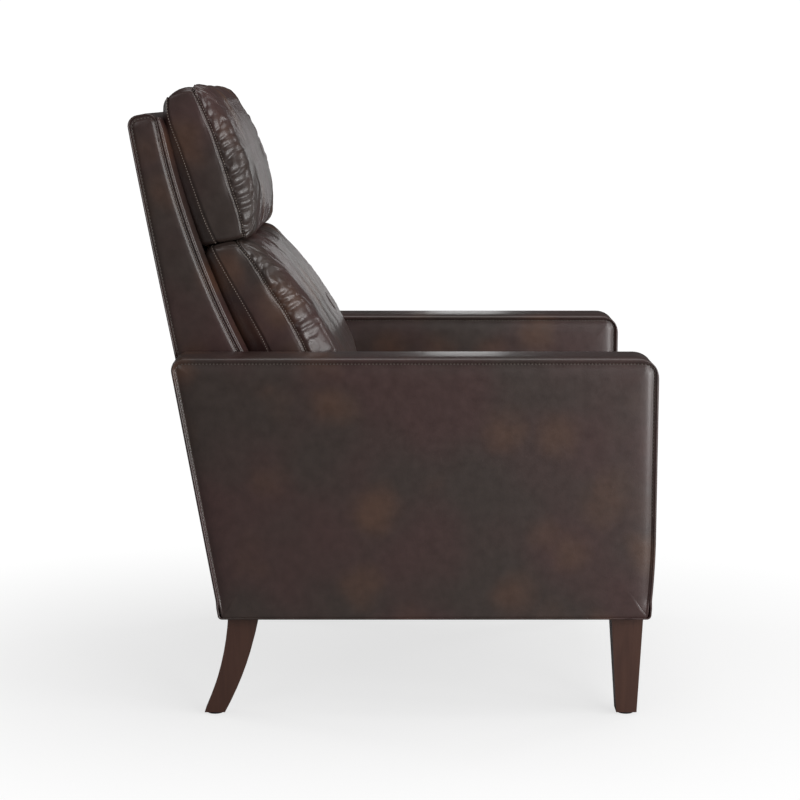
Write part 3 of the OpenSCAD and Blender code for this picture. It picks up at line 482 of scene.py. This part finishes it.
# The border strip's cross-section: ahead of the seam, and across from the shell's side
strip = smooth_line(
    [(-0.0010, -0.0080), (0.0, -0.0050), (0.0008, -0.0030), (0.0018, -0.0020), (0.0032, -0.0027),
     (0.0044, -0.0026), (0.0056, -0.0034), (0.0064, -0.0062), (0.0074, -0.0100), (0.0094, -0.0145),
     (0.0116, -0.0185), (0.0100, -0.0215)],
    26,
)
for side, word in ((1, "left"), (-1, "right")):
    rows = []
    for inset, height in shell_edge:
        ring = shell_ring(0.0030 + inset, SEAM_AHEAD - inset, radius=max(0.0165 - inset, 0.003))
        rows.append(back_points(ring[:, 0], ring[:, 1], side * (SHELL_HALF + height)))
    piece = net(f"shell_side_{word}", rows, hide, "back", thickness=HIDE)
    bm = reopen(piece)
    count = rows[0].shape[0]
    bm.faces.new([bm.verts[(len(rows) - 1) * count + i] for i in range(count)])
    bmesh.ops.triangulate(bm, faces=[face_outwards(bm, side)])
    put_back(bm, piece)
    # The border strip turns from the side round the shell's front edge and in behind the cushions
    v = np.linspace(0.16, SHELL_LEN - 0.010, 90)
    taper = np.clip((SHELL_LEN - 0.004 - v) / 0.03, 0, 1) ** 0.5
    rows = [
        back_points(shell_front(v_) + SEAM_AHEAD + strip[:, 0] * t, v_, side * (SHELL_HALF + strip[:, 1]))
        for v_, t in zip(v, taper)
    ]
    net(f"shell_border_{word}", rows, hide, "back", thickness=0.0012, flip=side < 0)
    v = np.linspace(0.17, SHELL_LEN - 0.016, 60)
    twin = [
        back_points(shell_front(v) + SEAM_AHEAD + off, v, side * (SHELL_HALF - 0.0018))
        for off in (-0.0042, 0.0032)
    ]
    stitches(f"shell_twin_stitch_{word}", twin, light_thread, "back")
    sewn = shell_ring(0.0072, SEAM_AHEAD - 0.0042, low=0.158, radius=0.0123)[:62]
    row = back_points(sewn[:, 0], sewn[:, 1], side * (SHELL_HALF - 0.0022))
    stitches(f"shell_rear_stitch_{word}", [row], taupe_thread, "back", HEAVY_STITCH)

# The outside back's path [u, v] up the rear, round the top and a little way down inside the front
v = np.linspace(0.0, SHELL_LEN - SHELL_R, 60)
rear = np.stack([shell_rear(v), v], axis=1)
swing = np.linspace(0, math.pi / 2, 10)
sine, cosine = SHELL_R * np.sin(swing), SHELL_R * np.cos(swing)
bend_v, edge_u = SHELL_LEN - SHELL_R, SHELL_TOP_D + SEAM_AHEAD
arc_a = np.stack([rear[-1, 0] + SHELL_R - cosine[1:], bend_v + sine[1:]], axis=1)
arc_b = np.stack([edge_u - SHELL_R + sine, bend_v + cosine], axis=1)
inside = [[edge_u, SHELL_LEN - 0.03], [edge_u - 0.002, SHELL_LEN - 0.05]]
path = np.concatenate([rear, arc_a, arc_b, inside])
step = np.gradient(path, axis=0)
normal = np.stack([-step[:, 1], step[:, 0]], axis=1) / np.linalg.norm(step, axis=1)[:, None]
# Its cross-section: depth below the path, and place across, with both edges rolled into the side seams
wrap_half = smooth_line(
    [(0.0070, 0.2570), (0.0042, 0.2612), (0.0030, 0.2632), (0.0018, 0.2640), (0.0008, 0.2630),
     (0.0002, 0.2600), (0.0, 0.2500)],
    16,
)
flat_part = np.stack([np.zeros(40), np.linspace(0.24, -0.24, 40)], axis=1)
across = np.concatenate([wrap_half, flat_part, wrap_half[::-1] * [1, -1]])
rows = [
    back_points(p[0] - n[0] * across[:, 0], p[1] - n[1] * across[:, 0], across[:, 1])
    for p, n in zip(path, normal)
]
outside_back = net("outside_back_hide", rows, hide, "back", thickness=0.0016)
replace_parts(outside_back, "back_cover", "back_panel")


# Back cushions: boxed hide cushions full of fibre over foam. A rear seam, a boxing panel and a
# double-sewn front seam run down each side, and the front hide is gathered into that front seam.
def rounded_ring(half, low, top, radius, sides, ends, turn):
    """Points [a, b] round a rectangle with round corners: up the near side, along the top edge, down
    the far side and back along the low edge, always in the same number."""
    radius = min(radius, (top - low) / 2)
    a1, b0, b1 = half - radius, low + radius, top - radius
    swing = np.linspace(0, math.pi / 2, turn + 2)[1:-1]

    def arc(a, b, start):
        return np.stack([a + radius * np.cos(start - swing), b + radius * np.sin(start - swing)], axis=1)

    return np.concatenate([
        np.linspace((-half, b0), (-half, b1), sides), arc(-a1, b1, math.pi),
        np.linspace((-a1, top), (a1, top), ends), arc(a1, b1, math.pi / 2),
        np.linspace((half, b1), (half, b0), sides), arc(a1, b0, 0.0),
        np.linspace((a1, low), (-a1, low), ends), arc(-a1, b0, -math.pi / 2),
    ])


def fold(x, y=0.0, z=0.0):
    """Smooth noise, about -0.5 to 0.5 and the same each run, for the wander of folds."""
    return noise.noise(Vector((x, y, z)))


def rounding(distance, radius):
    """How far a rolled edge has risen, 0 to 1, at a distance in from its seam."""
    return (1 - (1 - np.clip(distance / radius, 0, 1)) ** 2.0) ** 0.5


SETTLE_FRAMES = 16
SETTLE_OPEN, SETTLE_SEAM = 0.0014, 0.0060  # the most a point moves on the open front, and more by the seam


def settle(points, past):
    """The front hide settles over its filling by cloth simulation: pinned along its seam, pressed
    out by the fibre, with spare hide away from the gathers. past is each point's way from the seam.
    Returns the settled rows; no point moves by more than 7.4 mm."""
    rows, columns = points.shape[:2]
    corner_of = lambda i, j: i * columns + j % columns
    faces = [
        (corner_of(i, j), corner_of(i + 1, j), corner_of(i + 1, j + 1), corner_of(i, j + 1))
        for i in range(rows - 1)
        for j in range(columns)
    ]
    mesh = bpy.data.meshes.new("hide_trial")
    mesh.from_pydata(points.reshape(-1, 3).tolist(), [], faces)
    trial = bpy.data.objects.new("hide_trial", mesh)
    bpy.context.scene.collection.objects.link(trial)
    sewn, spare = trial.vertex_groups.new(name="sewn"), trial.vertex_groups.new(name="spare")
    sewn.add(list(range(2 * columns)), 1.0, "REPLACE")
    for index, way in enumerate(past.reshape(-1)):
        spare.add([index], 1 - math.exp(-((way / 0.034) ** 2)), "REPLACE")
    cloth = trial.modifiers.new("cloth", "CLOTH")
    rules = cloth.settings
    rules.quality, rules.mass, rules.air_damping, rules.bending_stiffness = 5, 0.01, 1.0, 0.3
    rules.vertex_group_mass, rules.vertex_group_shrink = "sewn", "spare"
    # A negative shrink is spare hide
    rules.shrink_min, rules.shrink_max = -0.045, 0.0
    rules.use_pressure, rules.uniform_pressure_force = True, 0.6
    rules.effector_weights.gravity = 0
    cloth.collision_settings.use_collision = False
    cloth.point_cache.frame_start, cloth.point_cache.frame_end = 1, SETTLE_FRAMES
    for moment in range(1, SETTLE_FRAMES + 1):
        bpy.context.scene.frame_set(moment)
    settled = trial.evaluated_get(bpy.context.evaluated_depsgraph_get()).to_mesh()
    places = np.empty(points.size)
    settled.vertices.foreach_get("co", places)
    bpy.context.scene.frame_set(1)
    bpy.data.objects.remove(trial)
    bpy.data.meshes.remove(mesh)
    moved = places.reshape(points.shape) - points
    far = np.linalg.norm(moved, axis=2)
    most = SETTLE_OPEN + SETTLE_SEAM * np.exp(-((past / 0.040) ** 2))
    return points + moved * np.minimum(1, most / np.maximum(far, 1e-9))[..., None]


REAR_SEAM, FRONT_SEAM = 6, 20  # the layers of a cushion's net that lie at its seams
BESIDE = 0.0035  # how far each of the twin rows of topstitch runs from the front seam


def folds(flat, past, seam, normal_out, edges, turned_at, gather, seed):
    """How far each point of a cushion's net [layer][point] is lifted off its smooth shape by puckers
    along the front seam, long soft folds over the front, and soft unevenness of boxing and back."""
    deep, spacing, reach, fan_from = gather
    steps = np.linalg.norm(np.diff(seam, axis=0, append=seam[:1]), axis=1)
    around = np.concatenate([[0], np.cumsum(steps)[:-1]])
    whole = steps.sum()
    spacing = whole / round(whole / spacing)
    layers, columns = past.shape
    lift = np.zeros(past.shape)
    for j in range(columns):
        angle = 2 * math.pi * around[j] / whole
        east, north = math.cos(angle) * whole, math.sin(angle) * whole
        wander = 1.25 * fold(east * 3.6, north * 3.6, seed)
        strong = max(0.85 + 1.2 * fold(east * 2.4, north * 2.4, seed + 5), 0.2)
        far = max(reach * (1 + 1.2 * fold(east * 6.5, north * 6.5, seed + 9)), 0.008)
        # Puckers on the two sides fan out; those along the ends run straight in
        lean = (seam[j, 1] - fan_from) / (edges[1] - edges[0]) * (-1.0 if j < turned_at else 1.0)
        lean *= abs(normal_out[j, 0]) > 0.5
        for i in range(FRONT_SEAM + 1, layers):
            e = past[i, j]
            bent = 0.12 * fold(e * 45, around[j] * 20, seed + 7) * min(e / 0.012, 1)
            phase = around[j] / spacing + wander + bent + lean * e / spacing * 0.8
            ridge = abs(math.sin(math.pi * phase)) ** 0.7 - 0.45
            ramp = min(max((e - 0.0030) / 0.005, 0), 1)
            lift[i, j] += deep * strong * ridge * ramp * (2 - ramp) * math.exp(-((e / far) ** 2))
            a, b = flat[i, j, 2], flat[i, j, 1]
            long_fold, fine_fold = fold(a * 13, b * 2.5, seed + 1), fold(a * 34, b * 5 + a * 6, seed + 2)
            lift[i, j] += min(e / 0.03, 1) * (0.0016 * long_fold + 0.0004 * fine_fold)
        for i in range(REAR_SEAM + 1):
            a, b = flat[i, j, 2], flat[i, j, 1]
            t = (i + 0.5) / (REAR_SEAM + 2)
            lift[i, j] += 0.0035 * fold(b * 9 + i * 0.25, a * 9, seed + 3) * math.sin(math.pi * t)
        for i in range(REAR_SEAM + 2, FRONT_SEAM):
            a, b = flat[i, j, 2], flat[i, j, 1]
            t = (i - REAR_SEAM - 1) / (FRONT_SEAM - REAR_SEAM - 1)
            lift[i, j] += 0.0020 * fold(a * 12 + 5, b * 20 - t * 1.6, seed + 4) * math.sin(math.pi * t)
    return lift


def closed_ring(ring, wide, counts):
    """The innermost ring, closed on a line: across a wide cushion, and up one taller than wide."""
    sides, ends, turn = counts
    starts = (sides + turn, 2 * sides + ends + 3 * turn) if wide else (0, sides + ends + 2 * turn)
    size = ends if wide else sides
    ring = np.roll(ring, -starts[0], axis=0)
    there = np.arange(size)
    back_again = (there + starts[1] - starts[0])[::-1]
    middle = (ring[there] + ring[back_again]) / 2
    ring[size: back_again[-1]], ring[back_again[0] + 1:] = middle[-1], middle[0]
    ring[there], ring[back_again] = middle, middle
    return np.roll(ring, starts[0], axis=0)


def cushion_layers(shape, heights, roll, counts):
    """The smooth shape of a boxed cushion as layers of points [h, b, a], from the middle of its back
    over both seams to the middle of its front. Returns the layers, each point's way past the front
    seam (-1 behind it), its dip into the seams' furrows, the seams' outline and its outward normals."""
    half, low, top, radius, bulge, back_drop = shape
    sides, ends, turn = counts
    back_h, rear_h, front_h, rise = heights

    def ring(inset, low_in=None, top_in=None):
        """The seams' outline, moved inwards by inset, or by other amounts at its low and top edge."""
        low_in, top_in = (inset if own is None else own for own in (low_in, top_in))
        bend = max(radius - inset, 0.0015)
        return rounded_ring(half - inset, low + low_in, top - top_in, bend, sides, ends, turn)

    seam = ring(0.0)
    core = np.clip(seam, [radius - half, low + radius], [half - radius, top - radius])
    normal_out = seam - core
    normal_out /= np.linalg.norm(normal_out, axis=1)[:, None]
    upward = np.clip(normal_out[:, 1], 0, 1) ** 2
    layers, past, dips = [], [], []

    def layer(points, h, distance, dip):
        """Adds a layer [h, b, a] with its way past the front seam (-1 behind it) and its dip."""
        layers.append(np.concatenate([h[:, None], points[:, ::-1]], axis=1))
        past.append(np.full(len(points), distance))
        dips.append(np.full(len(points), dip) if np.isscalar(dip) else dip)

    # Back: from a flat face against the chair out to the rear seam
    inner = ring(0.034, low_in=0.002, top_in=0.022)
    for t in (0.0, 0.16, 0.34, 0.54, 0.74, 0.88, 0.96):
        points = inner + (seam - inner) * t - np.stack([np.zeros(len(seam)), back_drop * upward], axis=1)
        b = points[:, 1]
        layer(points, back_h(b) + (rear_h(b) - back_h(b)) * t, -1, 0.003 * math.sin(math.pi * t) ** 0.8)
    # Boxing: from the rear seam to the front seam, pieced at both top corners
    pieced = np.zeros(len(seam))
    pieced[[sides + turn // 2, sides + turn + ends + turn // 2]] = -0.0016
    b = seam[:, 1]
    for t in (0.0, 0.03, 0.065, 0.11, 0.2, 0.32, 0.5, 0.68, 0.8, 0.88, 0.92, 0.955, 0.98, 1.0):
        points = seam + normal_out * (0.0012 + bulge * upward[:, None]) * math.sin(math.pi * t) ** 0.8
        points[:, 1] -= back_drop * upward * (1 - t)
        at_seams = math.exp(-((1 - t) / 0.03) ** 2) + math.exp(-(t / 0.03) ** 2)
        dip = -0.0022 * at_seams - 0.0004 * math.exp(-((t - 0.92) / 0.02) ** 2)
        layer(points, rear_h(b) + (front_h(b) - rear_h(b)) * t, -1, dip + pieced)
    # Front: rolls up from the front seam and runs in towards the middle
    deepest = min(half, (top - low) / 2) - 0.0005
    side_roll, low_roll, top_roll = roll
    turned = np.linspace(0, math.pi / 2, 17)[1:]
    rolled = side_roll * (1 - np.cos(turned))
    insets = np.concatenate([rolled, side_roll + (deepest - side_roll) * np.linspace(0, 1, 15)[1:]])
    travelled, inset_before = 0.0, 0.0
    for inset in insets:
        points = ring(inset)
        a, b = points[:, 0], points[:, 1]
        f = rounding(half - np.abs(a), side_roll) * rounding(b - low, low_roll) * rounding(top - b, top_roll)
        f *= 1 - 0.12 * (a / half) ** 2
        points = points + normal_out * 0.003 * math.sin(math.pi * min(inset / side_roll, 1)) ** 0.6
        h = front_h(b) + rise(b) * f
        travelled += float(np.hypot(h[sides // 2] - layers[-1][sides // 2, 0], inset - inset_before))
        inset_before = inset
        furrow = -0.0012 * math.exp(-(travelled / 0.002) ** 2)
        layer(points, h, travelled, furrow - 0.0004 * math.exp(-((travelled - BESIDE) / 0.0012) ** 2))
    return np.array(layers), np.array(past), np.array(dips), seam, normal_out


def boxed_cushion(name, node, body, place, shape, heights, roll, gather, seed, counts=(80, 110, 10)):
    """A boxed cushion. place(h, b, a) puts it in the chair: h is out from its back, b along its height
    and a across. shape: half width, low and top edge of the seams, corner radius, how far the top
    boxing bulges and how much lower its back edge lies. heights: back, rear seam, front seam and rise
    of the front, each over b. roll: how far in the front rises from its sides, low edge and top edge.
    gather: depth, spacing and reach of the puckers, and where they fan out from. seed sets the folds,
    and counts are the points along each side, end and corner. Returns the net [layer][point]."""
    half, low, top = shape[:3]
    sides, ends, turn = counts
    flat, past, dips, seam, normal_out = cushion_layers(shape, heights, roll, counts)
    base = place(flat[..., 0], flat[..., 1], flat[..., 2])
    run = np.roll(base, -1, axis=1) - np.roll(base, 1, axis=1)
    normal = np.cross(np.gradient(base, axis=0), run)
    normal /= np.maximum(np.linalg.norm(normal, axis=2), 1e-12)[..., None]
    # On the boxing of the near side, where a is negative, outwards is towards -Y
    if normal[REAR_SEAM + 4, sides // 2, 1] > 0:
        normal = -normal
    ahead = place(np.ones(1), np.zeros(1), np.zeros(1))[0] - place(np.zeros(1), np.zeros(1), np.zeros(1))[0]
    normal[-1] = ahead / np.linalg.norm(ahead)
    lift = folds(flat, past, seam, normal_out, (low, top), sides + turn, gather, seed)
    base += normal * (lift + dips)[..., None]
    if name in ("headrest", "lumbar"):
        base[FRONT_SEAM:-2] = settle(base[FRONT_SEAM:-2], past[FRONT_SEAM:-2])
    base[-1] = closed_ring(base[-1], half >= (top - low) / 2, counts)
    piece = net(name, base, hide, body, close=True)
    bm = reopen(piece)
    bmesh.ops.remove_doubles(bm, verts=bm.verts, dist=0.000004)
    bmesh.ops.holes_fill(bm, edges=[e for e in bm.edges if e.is_boundary], sides=0)
    bmesh.ops.recalc_face_normals(bm, faces=bm.faces)
    put_back(bm, piece)
    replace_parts(piece, node)
    return base


def table(*pairs):
    """A smooth height over b through (b, h) pairs in millimetres."""
    line = smooth_line([(b / 1000, h / 1000) for b, h in pairs], 90)
    return lambda b: np.interp(b, line[:, 0], line[:, 1])


def front_of_shell(b):
    """The back of both cushions, a hair ahead of the shell's front edge."""
    return shell_front(b) + 0.0006


# Heights are in millimetres over b, which runs up the back from the shell's lower edge
head_net = boxed_cushion(
    "headrest", "headrest_cushion", "back", back_points, (0.2595, 0.4700, 0.7255, 0.011, 0.004, 0.008),
    (
        lambda b: front_of_shell(b) + np.clip((b - 0.655) / 0.06, 0, 1) * 0.016,
        table((469, 103), (511, 93), (570, 84), (630, 76), (685, 68), (722, 74)),
        table((470, 148), (508, 148), (551, 143), (593, 139), (652, 131), (695, 122), (722, 114)),
        table(
            (470, 16), (480, 20), (495, 25), (515, 33), (540, 39.5), (570, 41), (599, 40.5), (630, 39),
            (658, 36), (685, 31), (704, 26), (722, 19),
        ),
    ),
    (0.036, 0.018, 0.014), (0.0060, 0.0190, 0.040, 0.50), 3.0,
)
lum_net = boxed_cushion(
    "lumbar", "lumbar_cushion", "back", back_points, (0.2595, 0.1420, 0.4660, 0.011, 0.0005, 0.0),
    (
        front_of_shell,
        table((142, 182), (280, 152), (334, 136), (389, 118), (449, 99), (467, 94)),
        table((142, 218), (200, 222), (272, 209), (332, 191), (378, 172), (429, 152), (463, 135), (467, 133)),
        table(
            (142, 44), (202, 55), (248, 53.5), (319, 48), (355, 46), (392, 43), (425, 36), (452, 25.5),
            (467, 14),
        ),
    ),
    (0.036, 0.014, 0.016), (0.0060, 0.0180, 0.038, 0.20), 21.0, counts=(96, 110, 8),
)

# Twin rows of topstitch beside each front seam, and a single row along each rear seam
for name, layers in (("headrest", head_net), ("lumbar", lum_net)):
    rows = []
    for outwards in (layers[FRONT_SEAM: FRONT_SEAM - 2: -1], layers[FRONT_SEAM: FRONT_SEAM + 8]):
        steps = np.linalg.norm(np.diff(outwards, axis=0), axis=2)
        gone = np.concatenate([np.zeros((1, steps.shape[1])), np.cumsum(steps, axis=0)])
        spot = np.array([
            [np.interp(BESIDE, gone[:, j], outwards[:, j, axis]) for axis in range(3)]
            for j in range(steps.shape[1])
        ])
        # Half a millimetre out from the sides, so that the thread lies on the hide
        spot[:, 1] += np.sign(spot[:, 1]) * 0.0005
        rows.append(np.concatenate([spot, spot[:1]]))
    stitches(f"{name}_twin_stitch", rows, light_thread, "back")
    rear_row = layers[REAR_SEAM]
    stitches(f"{name}_rear_stitch", [np.concatenate([rear_row, rear_row[:1]])], light_thread, "back")


# Legs: solid rubberwood, straight tapered in front and swept back behind, stained dark reddish
# brown under satin lacquer; the grain runs down each leg. A black glide is nailed under each foot.
def timber(name, values, stretch, grain, dark, light, depth):
    """Sawn wood: grain stretched along one axis between two colours. grain: its scale, detail,
    roughness and distortion. depth: the bump's strength and distance."""
    made, tree, shader, at = material(name, values)
    grain_at = add(tree, "ShaderNodeMapping", {"Vector": at, "Scale": stretch})
    pattern = dict(zip(("Scale", "Detail", "Roughness", "Distortion"), grain))
    figure = add(tree, "ShaderNodeTexNoise", {"Vector": grain_at.outputs[0], **pattern})
    tone = add(
        tree, "ShaderNodeMix", {"Factor": figure.outputs["Fac"], MIX_A: dark, MIX_B: light}, data_type="RGBA"
    )
    tree.links.new(tone.outputs[MIX_OUT], shader.inputs["Base Color"])
    emboss(tree, shader, figure.outputs["Fac"], *depth)
    return made


wood = timber(
    "leg_wood", {"Roughness": 0.38, "Coat Weight": 0.3, "Coat Roughness": 0.25}, (60, 60, 4),
    (1.6, 6.0, 0.6, 0.8), (0.044, 0.0175, 0.0125, 1), (0.098, 0.043, 0.028, 1), (0.12, 0.0006),
)


def dress(node, finish, bevel=0.0):
    """A CAD node keeps its shape and gets its finish, with a small round on its edges."""
    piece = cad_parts[node]
    piece.data.materials.clear()
    piece.data.materials.append(finish)
    if bevel:
        weld = piece.modifiers.new("weld", "WELD")
        weld.merge_threshold = 0.00001
        edge = piece.modifiers.new("edge", "BEVEL")
        edge.width, edge.segments, edge.limit_method, edge.angle_limit = bevel, 3, "ANGLE", math.radians(35)


for node in ("front_leg_left", "front_leg_right", "rear_leg_left", "rear_leg_right"):
    dress(node, wood, 0.0015)

dress("leg_glides", worn("glide_plastic", {"Base Color": (0.02, 0.02, 0.02, 1)}, 300.0, 0.45, 0.7))


# Frames: kiln-dried pine rails and boards under the hide of the arms, seat and back. They are planed,
# glued and stapled, and the wood is left raw because the covers hide nearly all of it.
pine = timber(
    "frame_pine", {"Roughness": 0.65}, (6, 60, 60),
    (1.5, 5.0, 0.5, 1.2), (0.62, 0.43, 0.24, 1), (0.42, 0.25, 0.12, 1), (0.2, 0.0008),
)
for node in ("arm_frame_left", "arm_frame_right", "corner_blocks", "seat_frame", "back_frame"):
    dress(node, pine)


# Covers over wood that would show: the two base rails are wrapped in hide and stapled below, a flap
# runs down from the lumbar cushion over the gap behind the seat, and an apron hides the seat's front.
COVER = 0.0012  # how thick the covers are, and how far each lies off its wood
for node in ("rear_rail", "front_rail"):
    lo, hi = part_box(node)
    wrap = rounded_ring((hi[0] - lo[0]) / 2 + COVER, lo[2] - COVER, hi[2] + COVER, 0.004, 14, 8, 4)
    rows = [
        np.stack([wrap[:, 0] + (lo[0] + hi[0]) / 2, np.full(len(wrap), y), wrap[:, 1]], axis=1)
        for y in np.linspace(lo[1], hi[1], 40)
    ]
    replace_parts(net(f"{node}_hide", rows, hide, "base", close=True, ends=True), node)

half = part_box("back_frame")[1][1] - 0.002
fall = smooth_line(
    [(0.150, 0.152), (0.147, 0.140), (0.132, 0.124), (0.120, 0.108), (0.1175, 0.088), (0.1175, 0.060),
     (0.112, 0.048), (0.090, 0.043)],
    40,
)
rows = [back_points(p[0], p[1], np.linspace(-half, half, 60)) for p in fall]
net("back_tail", rows, hide, "back", thickness=COVER)

lo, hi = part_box("seat_frame")
front, low, high = hi[0], lo[2], hi[2]
drop = smooth_line(
    [(front - 0.016, low - COVER), (front - 0.003, low - COVER), (front + COVER, low + 0.002),
     (front + 0.0016, (low + high) / 2), (front + COVER, high - 0.001)],
    24,
)
across = np.linspace(lo[1], hi[1], 50)
rows = [np.stack([np.full(50, p[0]), across, np.full(50, p[1])], axis=1) for p in drop]
net("seat_apron", rows, hide, "seat", thickness=0.0010)


# Mechanism: stamped steel plates and links in baked black paint, riveted; the torque tubes are
# seam-welded tube and the springs are drawn wire, both left bright under a film of oil.
paint, tree, shader, at = material("black_paint", {"Base Color": (0.018, 0.018, 0.019, 1), "Roughness": 0.38})
peel = add(tree, "ShaderNodeTexNoise", {"Vector": at, "Scale": 500.0, "Detail": 3.0})
emboss(tree, shader, peel.outputs["Fac"], 0.25, 0.0003)

bright = worn("bright_steel", {"Base Color": (0.55, 0.55, 0.56, 1), "Metallic": 1.0}, 240.0, 0.22, 0.42)

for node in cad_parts:
    if any(part in node for part in ("rivets", "screws", "bolts", "torque", "springs", "clips", "spacers")):
        dress(node, bright)
    elif any(part in node for part in ("mechanism_base", "rocker", "seat_plate", "bracket", "_link_")):
        dress(node, paint)


# Seat: a boxed hide cushion on a deck of black cloth over sinuous springs. It shows only from above
# and in front, between the arms. The same cloth covers the underside of the footrest's board.
deck, tree, shader, at = material("deck_cloth", {"Base Color": (0.018, 0.018, 0.018, 1), "Roughness": 0.9})
weave = add(tree, "ShaderNodeTexWave", {"Vector": at, "Scale": 420.0, "Distortion": 0.4}, bands_direction="X")
weft = add(tree, "ShaderNodeTexWave", {"Vector": at, "Scale": 420.0, "Distortion": 0.4}, bands_direction="Y")
cross = add(tree, "ShaderNodeMath", {0: weave.outputs["Fac"], 1: weft.outputs["Fac"]}, operation="MULTIPLY")
emboss(tree, shader, cross.outputs[0], 0.4, 0.0004)
dress("seat_deck", deck)
dress("footrest_board", deck)


def seat_points(h, b, a):
    """Points of the seat: h up, b forwards and a across."""
    return np.stack(np.broadcast_arrays(b, a, h), axis=-1)


def same(value):
    """The same height for every b."""
    return lambda b: np.full(np.shape(b), value)


boxed_cushion(
    "seat", "seat_cushion", "seat", seat_points, (0.2630, -0.1480, 0.4080, 0.028, 0.004, 0.0),
    (
        same(0.4306), same(0.4372), same(0.4610),
        table((-148, 20), (-60, 24), (100, 28), (250, 28), (380, 25), (408, 20)),
    ),
    (0.036, 0.030, 0.026), (0.0020, 0.0170, 0.022, 0.10), 33.0, counts=(110, 90, 8),
)


# Footrest: a plywood board under foam and hide. Folded away it stands upright between the arms and
# is the chair's front panel.
def footrest_points(h, b, a):
    """Points of the folded footrest: h forwards, b up and a across."""
    return np.stack(np.broadcast_arrays(h, a, b), axis=-1)


boxed_cushion(
    "footrest", "footrest_pad", "footrest", footrest_points, (0.2615, 0.1970, 0.4170, 0.022, 0.0, 0.0),
    (same(0.3728), same(0.3800), same(0.4000), same(0.0270)),
    (0.034, 0.030, 0.030), (0.0014, 0.0190, 0.018, 0.30), 45.0, counts=(60, 100, 8),
)


# Studio: a white floor and a white sky, with soft lamps. The key and front_right light the near side,
# behind and strip draw the bright bands on the cushions, front_low and edge those on the arms.
floor_finish, tree, shader, at = material("floor", {"Roughness": 0.9, "Specular IOR Level": 0.0})
seen = add(tree, "ShaderNodeLightPath").outputs["Is Camera Ray"]
white = add(tree, "ShaderNodeMapRange", {"Value": seen, "To Min": 0.30, "To Max": 0.9})
paper = add(tree, "ShaderNodeCombineColor", {i: white.outputs["Result"] for i in range(3)})
tree.links.new(paper.outputs["Color"], shader.inputs["Base Color"])
flat_at = add(tree, "ShaderNodeMapping", {"Vector": at, "Scale": (0.8, 1.0, 0)})
reach = add(tree, "ShaderNodeVectorMath", {0: flat_at.outputs[0]}, operation="LENGTH")
# The camera sees plain white paper further out, and the chair's soft shadow near its middle
fade = add(
    tree, "ShaderNodeMapRange",
    {"Value": reach.outputs["Value"], "From Min": 0.3, "From Max": 1.25, "To Min": 0.68, "To Max": 1.0},
    interpolation_type="SMOOTHSTEP",
)
lit = add(tree, "ShaderNodeMath", {0: fade.outputs["Result"], 1: seen}, operation="MULTIPLY")
glow = add(tree, "ShaderNodeEmission", {"Color": (1, 1, 1, 1), "Strength": 1.03})
mixed = add(tree, "ShaderNodeMixShader", {0: lit.outputs[0], 1: shader.outputs[0], 2: glow.outputs[0]})
tree.links.new(mixed.outputs[0], tree.nodes["Material Output"].inputs["Surface"])
bm = bmesh.new()
bmesh.ops.create_grid(bm, x_segments=1, y_segments=1, size=40)
mesh = bpy.data.meshes.new("floor")
bm.to_mesh(mesh)
bm.free()
mesh.materials.append(floor_finish)
floor = bpy.data.objects.new("floor", mesh)
bpy.context.scene.collection.objects.link(floor)


def soft_light(name, place, target, size, power):
    """A rectangular lamp, size wide and high in metres and power in watts, that the camera can't see."""
    data = bpy.data.lights.new(name, "AREA")
    data.shape, data.size, data.size_y, data.energy = "RECTANGLE", size[0], size[1], power
    lamp = bpy.data.objects.new(name, data)
    bpy.context.scene.collection.objects.link(lamp)
    lamp.location = place
    lamp.visible_camera = False
    lamp.rotation_euler = (Vector(target) - Vector(place)).to_track_quat("-Z", "Y").to_euler()


soft_light("key", (3.1, -2.0, 1.5), (0, 0, 0.6), (1.2, 2.4), 38)
soft_light("front_right", (1.9, -3.4, 1.6), (0.2, 0, 0.5), (1.1, 2.0), 36)
soft_light("behind", (0.23, 3.2, 0.72), (0.0, 0, 0.7), (0.24, 1.4), 1.5)
soft_light("strip", (3.2, -0.9, 1.0), (0.0, -0.2, 0.8), (0.3, 1.4), 16)
soft_light("front_low", (2.3, -2.7, 0.42), (0.42, -0.36, 0.4), (0.8, 0.8), 24)
soft_light("edge", (3.0, 1.9, 1.2), (0, 0, 0.6), (0.5, 2.0), 14)
soft_light("top", (0.4, 0.0, 3.4), (0, 0, 0), (2.4, 2.4), 34)
soft_light("rear", (-2.9, 1.2, 1.6), (0, 0, 0.6), (0.8, 2.2), 16)
soft_light("camera_left", (-2.2, -3.8, 2.4), (0, 0, 0.4), (1.6, 1.6), 14)

# The sky is white to the camera, dim in diffuse light and dimmer still in reflections
world = bpy.data.worlds.new("studio")
bpy.context.scene.world = world
world.use_nodes = True
tree = world.node_tree
path = add(tree, "ShaderNodeLightPath")
dim = add(tree, "ShaderNodeMapRange", {"Value": path.outputs["Is Glossy Ray"], "To Min": 0.15, "To Max": 0.06})
level = add(
    tree, "ShaderNodeMapRange",
    {"Value": path.outputs["Is Camera Ray"], "To Min": dim.outputs["Result"], "To Max": 1.05},
)
tree.nodes["Background"].inputs["Color"].default_value = (1, 1, 1, 1)
tree.links.new(level.outputs["Result"], tree.nodes["Background"].inputs["Strength"])

# The camera stands on the sitter's right and looks slightly down
lens = bpy.data.cameras.new("camera")
lens.lens, lens.sensor_width = 91.6, 36
camera = bpy.data.objects.new("camera", lens)
bpy.context.scene.collection.objects.link(camera)
camera.location = (0.0127, -3.610, 1.030)
camera.rotation_euler = (math.radians(90 - 8.66), 0, 0)
bpy.context.scene.camera = camera
bpy.context.scene.view_settings.view_transform = "Standard"
